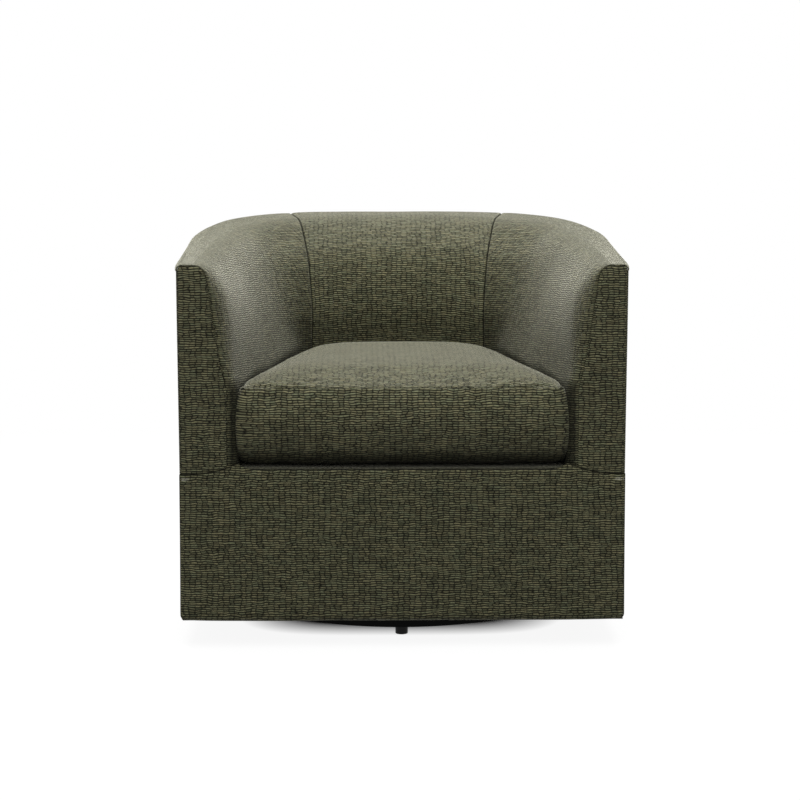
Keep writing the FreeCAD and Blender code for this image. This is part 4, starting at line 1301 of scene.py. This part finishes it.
def weave(make, uv):
    """How much each place of the cloth is a dash, from 0 to 1, with two random numbers per dash."""
    u, v, _ = make.split(uv)
    wobble_u = wobble(make, uv, *WOBBLE_ALONG)
    wobble_v = wobble(make, make.vector("ADD", uv, (3.1, 1.7, 0.0)), *WOBBLE_ACROSS)
    row = make.math("DIVIDE", make.math("ADD", v, wobble_v), DASH_ROW)
    row_index = make.math("FLOOR", row)
    stagger = make.math("MULTIPLY", make.random(row_index, 3.0), DASH_STAGGER)
    column = make.math("ADD", make.math("DIVIDE", make.math("ADD", u, wobble_u), DASH_LENGTH), stagger)
    column_index = make.math("FLOOR", column)
    chance = make.random(column_index, row_index, 1.0)
    tint = make.random(column_index, row_index, 7.0)
    # One dash is round across and flat along, with a gap at its ends that some dashes bridge
    parts = []
    for place, power in ((row, DASH_ROUND_POWER), (column, DASH_END_POWER)):
        share = make.math("FRACT", place)
        from_middle = make.math("ABSOLUTE", make.math("MULTIPLY_ADD", share, 2.0, -1.0))
        parts.append(make.math("SUBTRACT", 1.0, make.math("POWER", from_middle, power)))
    round_part, end_gap = parts
    odd = make.math("FLOORED_MODULO", column_index, 2.0)
    joined = make.math("GREATER_THAN", chance, make.math("MULTIPLY_ADD", odd, *DASH_JOINED))
    end_gap = make.math("MAXIMUM", end_gap, make.math("MULTIPLY_ADD", joined, *DASH_END_GAP))
    return make.math("MULTIPLY", round_part, end_gap, clamp=True), chance, tint


def make_cloth():
    material = bpy.data.materials.new("olive_basket_weave")
    tree, shader = nodes_of(material)
    make = Nodes(tree)
    uv = make.coordinates("UV")
    dash, chance, tint = weave(make, uv)
    fibre = make.noise(make.vector("MULTIPLY", uv, (1.0, 5.0, 1.0)), FIBRE_SCALE)
    height = make.math("MULTIPLY", dash, make.math("MULTIPLY_ADD", chance, 0.45, 0.6))
    height = make.math("ADD", height, make.math("MULTIPLY", fibre, 0.15))
    patches = make.noise(uv, PATCH_SCALE)
    blend = make.math("ADD", make.math("MULTIPLY", tint, 0.5), make.math("MULTIPLY", patches, 0.5))
    yarn = make.ramp(blend, [(0.15, CLOTH_GREEN), (0.5, CLOTH_OLIVE), (0.9, CLOTH_WARM)])
    shown = make.math("MULTIPLY", make.math("POWER", dash, DASH_SHOWN_POWER),
                      make.math("MULTIPLY_ADD", chance, 0.7, 0.5), clamp=True)
    # Painted shade from the seam_shade attribute, at seams, folds and crevices, darkens the yarn and takes
    # away its sheen
    depth = tree.nodes.new("ShaderNodeAttribute")
    depth.attribute_name = "seam_shade"
    unshaded_share = make.math("MULTIPLY_ADD", depth.outputs["Fac"], -0.9, 1.0)
    unshaded_sheen = make.math("MULTIPLY", unshaded_share, unshaded_share)
    fuzzy = make.math("MULTIPLY_ADD", shown, 0.55, 0.65)
    lit = make.math("MULTIPLY", shown, unshaded_share)
    make.fill(shader, Base_Color=make.mix(lit, CLOTH_DARK, yarn), Normal=make.bump(height, CLOTH_BUMP),
              Roughness=0.9, Specular_IOR_Level=0.1,
              Sheen_Weight=make.math("MULTIPLY", unshaded_sheen, fuzzy, clamp=True),
              Sheen_Roughness=0.33, Sheen_Tint=(*CLOTH_FUZZ, 1))
    return material


def make_plain(name, colour, roughness, grain=0.0, grain_scale=400.0, metallic=0.0, specular=0.5,
               second=None):
    """A material with a fine grain in its colour and bump."""
    material = bpy.data.materials.new(name)
    tree, shader = nodes_of(material)
    make = Nodes(tree)
    grains = make.noise(make.coordinates("Object"), grain_scale, 3.0)
    other = second or tuple(value * 0.75 for value in colour)
    make.fill(shader, Base_Color=make.ramp(grains, [(0.3, other), (0.7, colour)]), Roughness=roughness,
              Metallic=metallic, Specular_IOR_Level=specular)
    if grain:
        make.fill(shader, Normal=make.bump(grains, grain))
    return material


def dress_nodes(cloth):
    """Materials of the CAD nodes that stay shown, or that a piece stands for."""
    materials = {
        "plywood": make_plain("plywood", (0.55, 0.36, 0.19), 0.7, 0.0002, 60.0,
                              second=(0.45, 0.28, 0.14)),
        "spring_steel": make_plain("spring_steel", (0.10, 0.10, 0.11), 0.4, metallic=0.9,
                                   second=(0.16, 0.16, 0.17)),
        "zinc_steel": make_plain("zinc_steel", (0.42, 0.42, 0.43), 0.35, metallic=1.0,
                                 second=(0.34, 0.34, 0.35)),
        "black_steel": make_plain("black_powder_coat", (0.003, 0.003, 0.003), 0.6, 0.00006, 900.0,
                                  specular=0.06),
        "black_nylon": make_plain("black_nylon", (0.003, 0.003, 0.003), 0.3, 0.00002, 500.0,
                                  specular=0.15),
        "foam": make_plain("foam", (0.72, 0.64, 0.42), 0.95, 0.0006, 300.0),
        "deck_felt": make_plain("felt", (0.36, 0.34, 0.30), 0.95, 0.0006, 500.0),
        "deck_lining": make_plain("lining", (0.016, 0.016, 0.015), 0.9, 0.0002, 900.0),
        "dust_cloth": make_plain("dust_cloth", (0.006, 0.006, 0.006), 0.85, 0.0002, 700.0),
        "webbing": make_plain("webbing", (0.10, 0.075, 0.045), 0.9, 0.0003, 500.0),
        "liner_board": make_plain("liner_board", (0.26, 0.18, 0.10), 0.9, 0.0001, 200.0),
        "olive_cloth": cloth,
    }
    slots = {entry["node"]: entry["material_slot"] for entry in frame["record"]["subparts"]}
    for name, node in frame["nodes"].items():
        node.data.materials.clear()
        node.data.materials.append(materials[slots[name]])
    return materials


# Camera, floor and light
CAMERA_PLACE = (-0.0707, -4.50, 1.06)
CAMERA_PITCH = 8.514
CAMERA_YAW = 0.923
CAMERA_LENS = 106.4
WORLD_STRENGTH = 0.6
FLOOR_HALF = 12.0
FLOOR_NEAR = (10.5, -2.36)
FLOOR_FAR = (0.05, 0.90)
LIGHTS = (("overhead", (0.0, -0.2, 3.2), (0.0, -0.1, 0.4), (3.2, 3.2), 80.0),
          ("high_front", (0.0, -2.4, 3.4), (0.0, -0.1, 0.4), (3.0, 1.6), 60.0),
          ("high_back", (0.0, 1.8, 3.0), (0.0, 0.0, 0.5), (3.0, 1.6), 100.0))


def make_camera():
    data = bpy.data.cameras.new("camera")
    camera = new_object("camera", data)
    data.sensor_width = 36.0
    data.lens = CAMERA_LENS
    data.clip_end = 100.0
    camera.location = CAMERA_PLACE
    camera.rotation_euler = Euler((math.radians(90 - CAMERA_PITCH), 0, math.radians(-CAMERA_YAW)), "XYZ")
    bpy.context.scene.camera = camera


def area_light(name, location, target, size, power):
    data = bpy.data.lights.new(name, "AREA")
    data.shape = "RECTANGLE"
    data.size, data.size_y = size
    data.energy = power
    light = new_object(name, data)
    light.location = location
    direction = Vector(target) - Vector(location)
    light.rotation_euler = direction.to_track_quat("-Z", "Y").to_euler()


def seen_directly(make):
    """1 for rays from the camera or off something glossy or clear, else 0."""
    path = make.add("LightPath")
    direct = make.math("MAXIMUM", path.outputs["Is Camera Ray"], path.outputs["Is Glossy Ray"])
    return make.math("MAXIMUM", direct, path.outputs["Is Transmission Ray"])


def make_world(strength):
    world = bpy.data.worlds.new("studio")
    bpy.context.scene.world = world
    world.use_nodes = True
    make = Nodes(world.node_tree)
    background = world.node_tree.nodes["Background"]
    background.inputs["Color"].default_value = (1, 1, 1, 1)
    make.put(background.inputs["Strength"],
             make.math("MULTIPLY_ADD", seen_directly(make), 1.0 - strength, strength))


def floor_whiteness(make):
    """How far the floor has turned from a shaded floor under the chair to plain white. Away is the
    size of the square with rounded corners, round the swivel axis, that a point is on."""
    x, y, _ = make.split(make.coordinates("Object"))
    fourths = [make.math("POWER", make.math("ABSOLUTE", value), 4.0) for value in (x, y)]
    away = make.math("POWER", make.math("ADD", *fourths), 0.25)
    near = make.math("MULTIPLY_ADD", away, *FLOOR_NEAR, clamp=True)
    far = make.math("MULTIPLY_ADD", away, *FLOOR_FAR, clamp=True)
    return make.math("MINIMUM", near, far)


def make_floor():
    material = bpy.data.materials.new("pale_floor")
    tree, shader = nodes_of(material)
    make = Nodes(tree)
    direct = seen_directly(make)
    make.fill(shader, Base_Color=make.mix(direct, (0.2, 0.2, 0.2), (1.0, 1.0, 1.0)), Roughness=0.9,
              Specular_IOR_Level=0.0)
    white = tree.nodes.new("ShaderNodeEmission")
    mixer = make.add("MixShader", make.math("MULTIPLY", floor_whiteness(make), direct),
                     shader.outputs[0], white.outputs[0])
    output = next(node for node in tree.nodes if node.type == "OUTPUT_MATERIAL")
    tree.links.new(mixer.outputs[0], output.inputs[0])
    mesh = bpy.data.meshes.new("floor")
    corners = [(x * FLOOR_HALF, y * FLOOR_HALF, 0) for x, y in ((-1, -1), (1, -1), (1, 1), (-1, 1))]
    mesh.from_pydata(corners, [], [(0, 1, 2, 3)])
    mesh.materials.append(material)
    floor = new_object("floor", mesh)


def make_studio():
    make_camera()
    make_world(WORLD_STRENGTH)
    make_floor()
    for light in LIGHTS:
        area_light(*light)
    bpy.context.scene.view_settings.view_transform = "Standard"


def add(pieces, body):
    for piece in pieces:
        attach(piece, body)


make_studio()
cloth = make_cloth()
materials = dress_nodes(cloth)
inside, front_edge = make_inside_covers(cloth)
covers = inside + make_outside_covers(cloth) + make_facings(cloth, front_edge)
add(covers + [make_front_border(cloth)], "chair")
deck_front, deck_lining = make_deck(cloth, materials["deck_lining"])
add([deck_front], "chair")
add([deck_lining], "chair")
add([make_dust_cover(materials["dust_cloth"])], "chair")
add([make_back_straps(materials["webbing"])], "chair")
add([make_cushion(cloth)], "cushion")
add([make_zip(materials["black_nylon"])], "cushion")
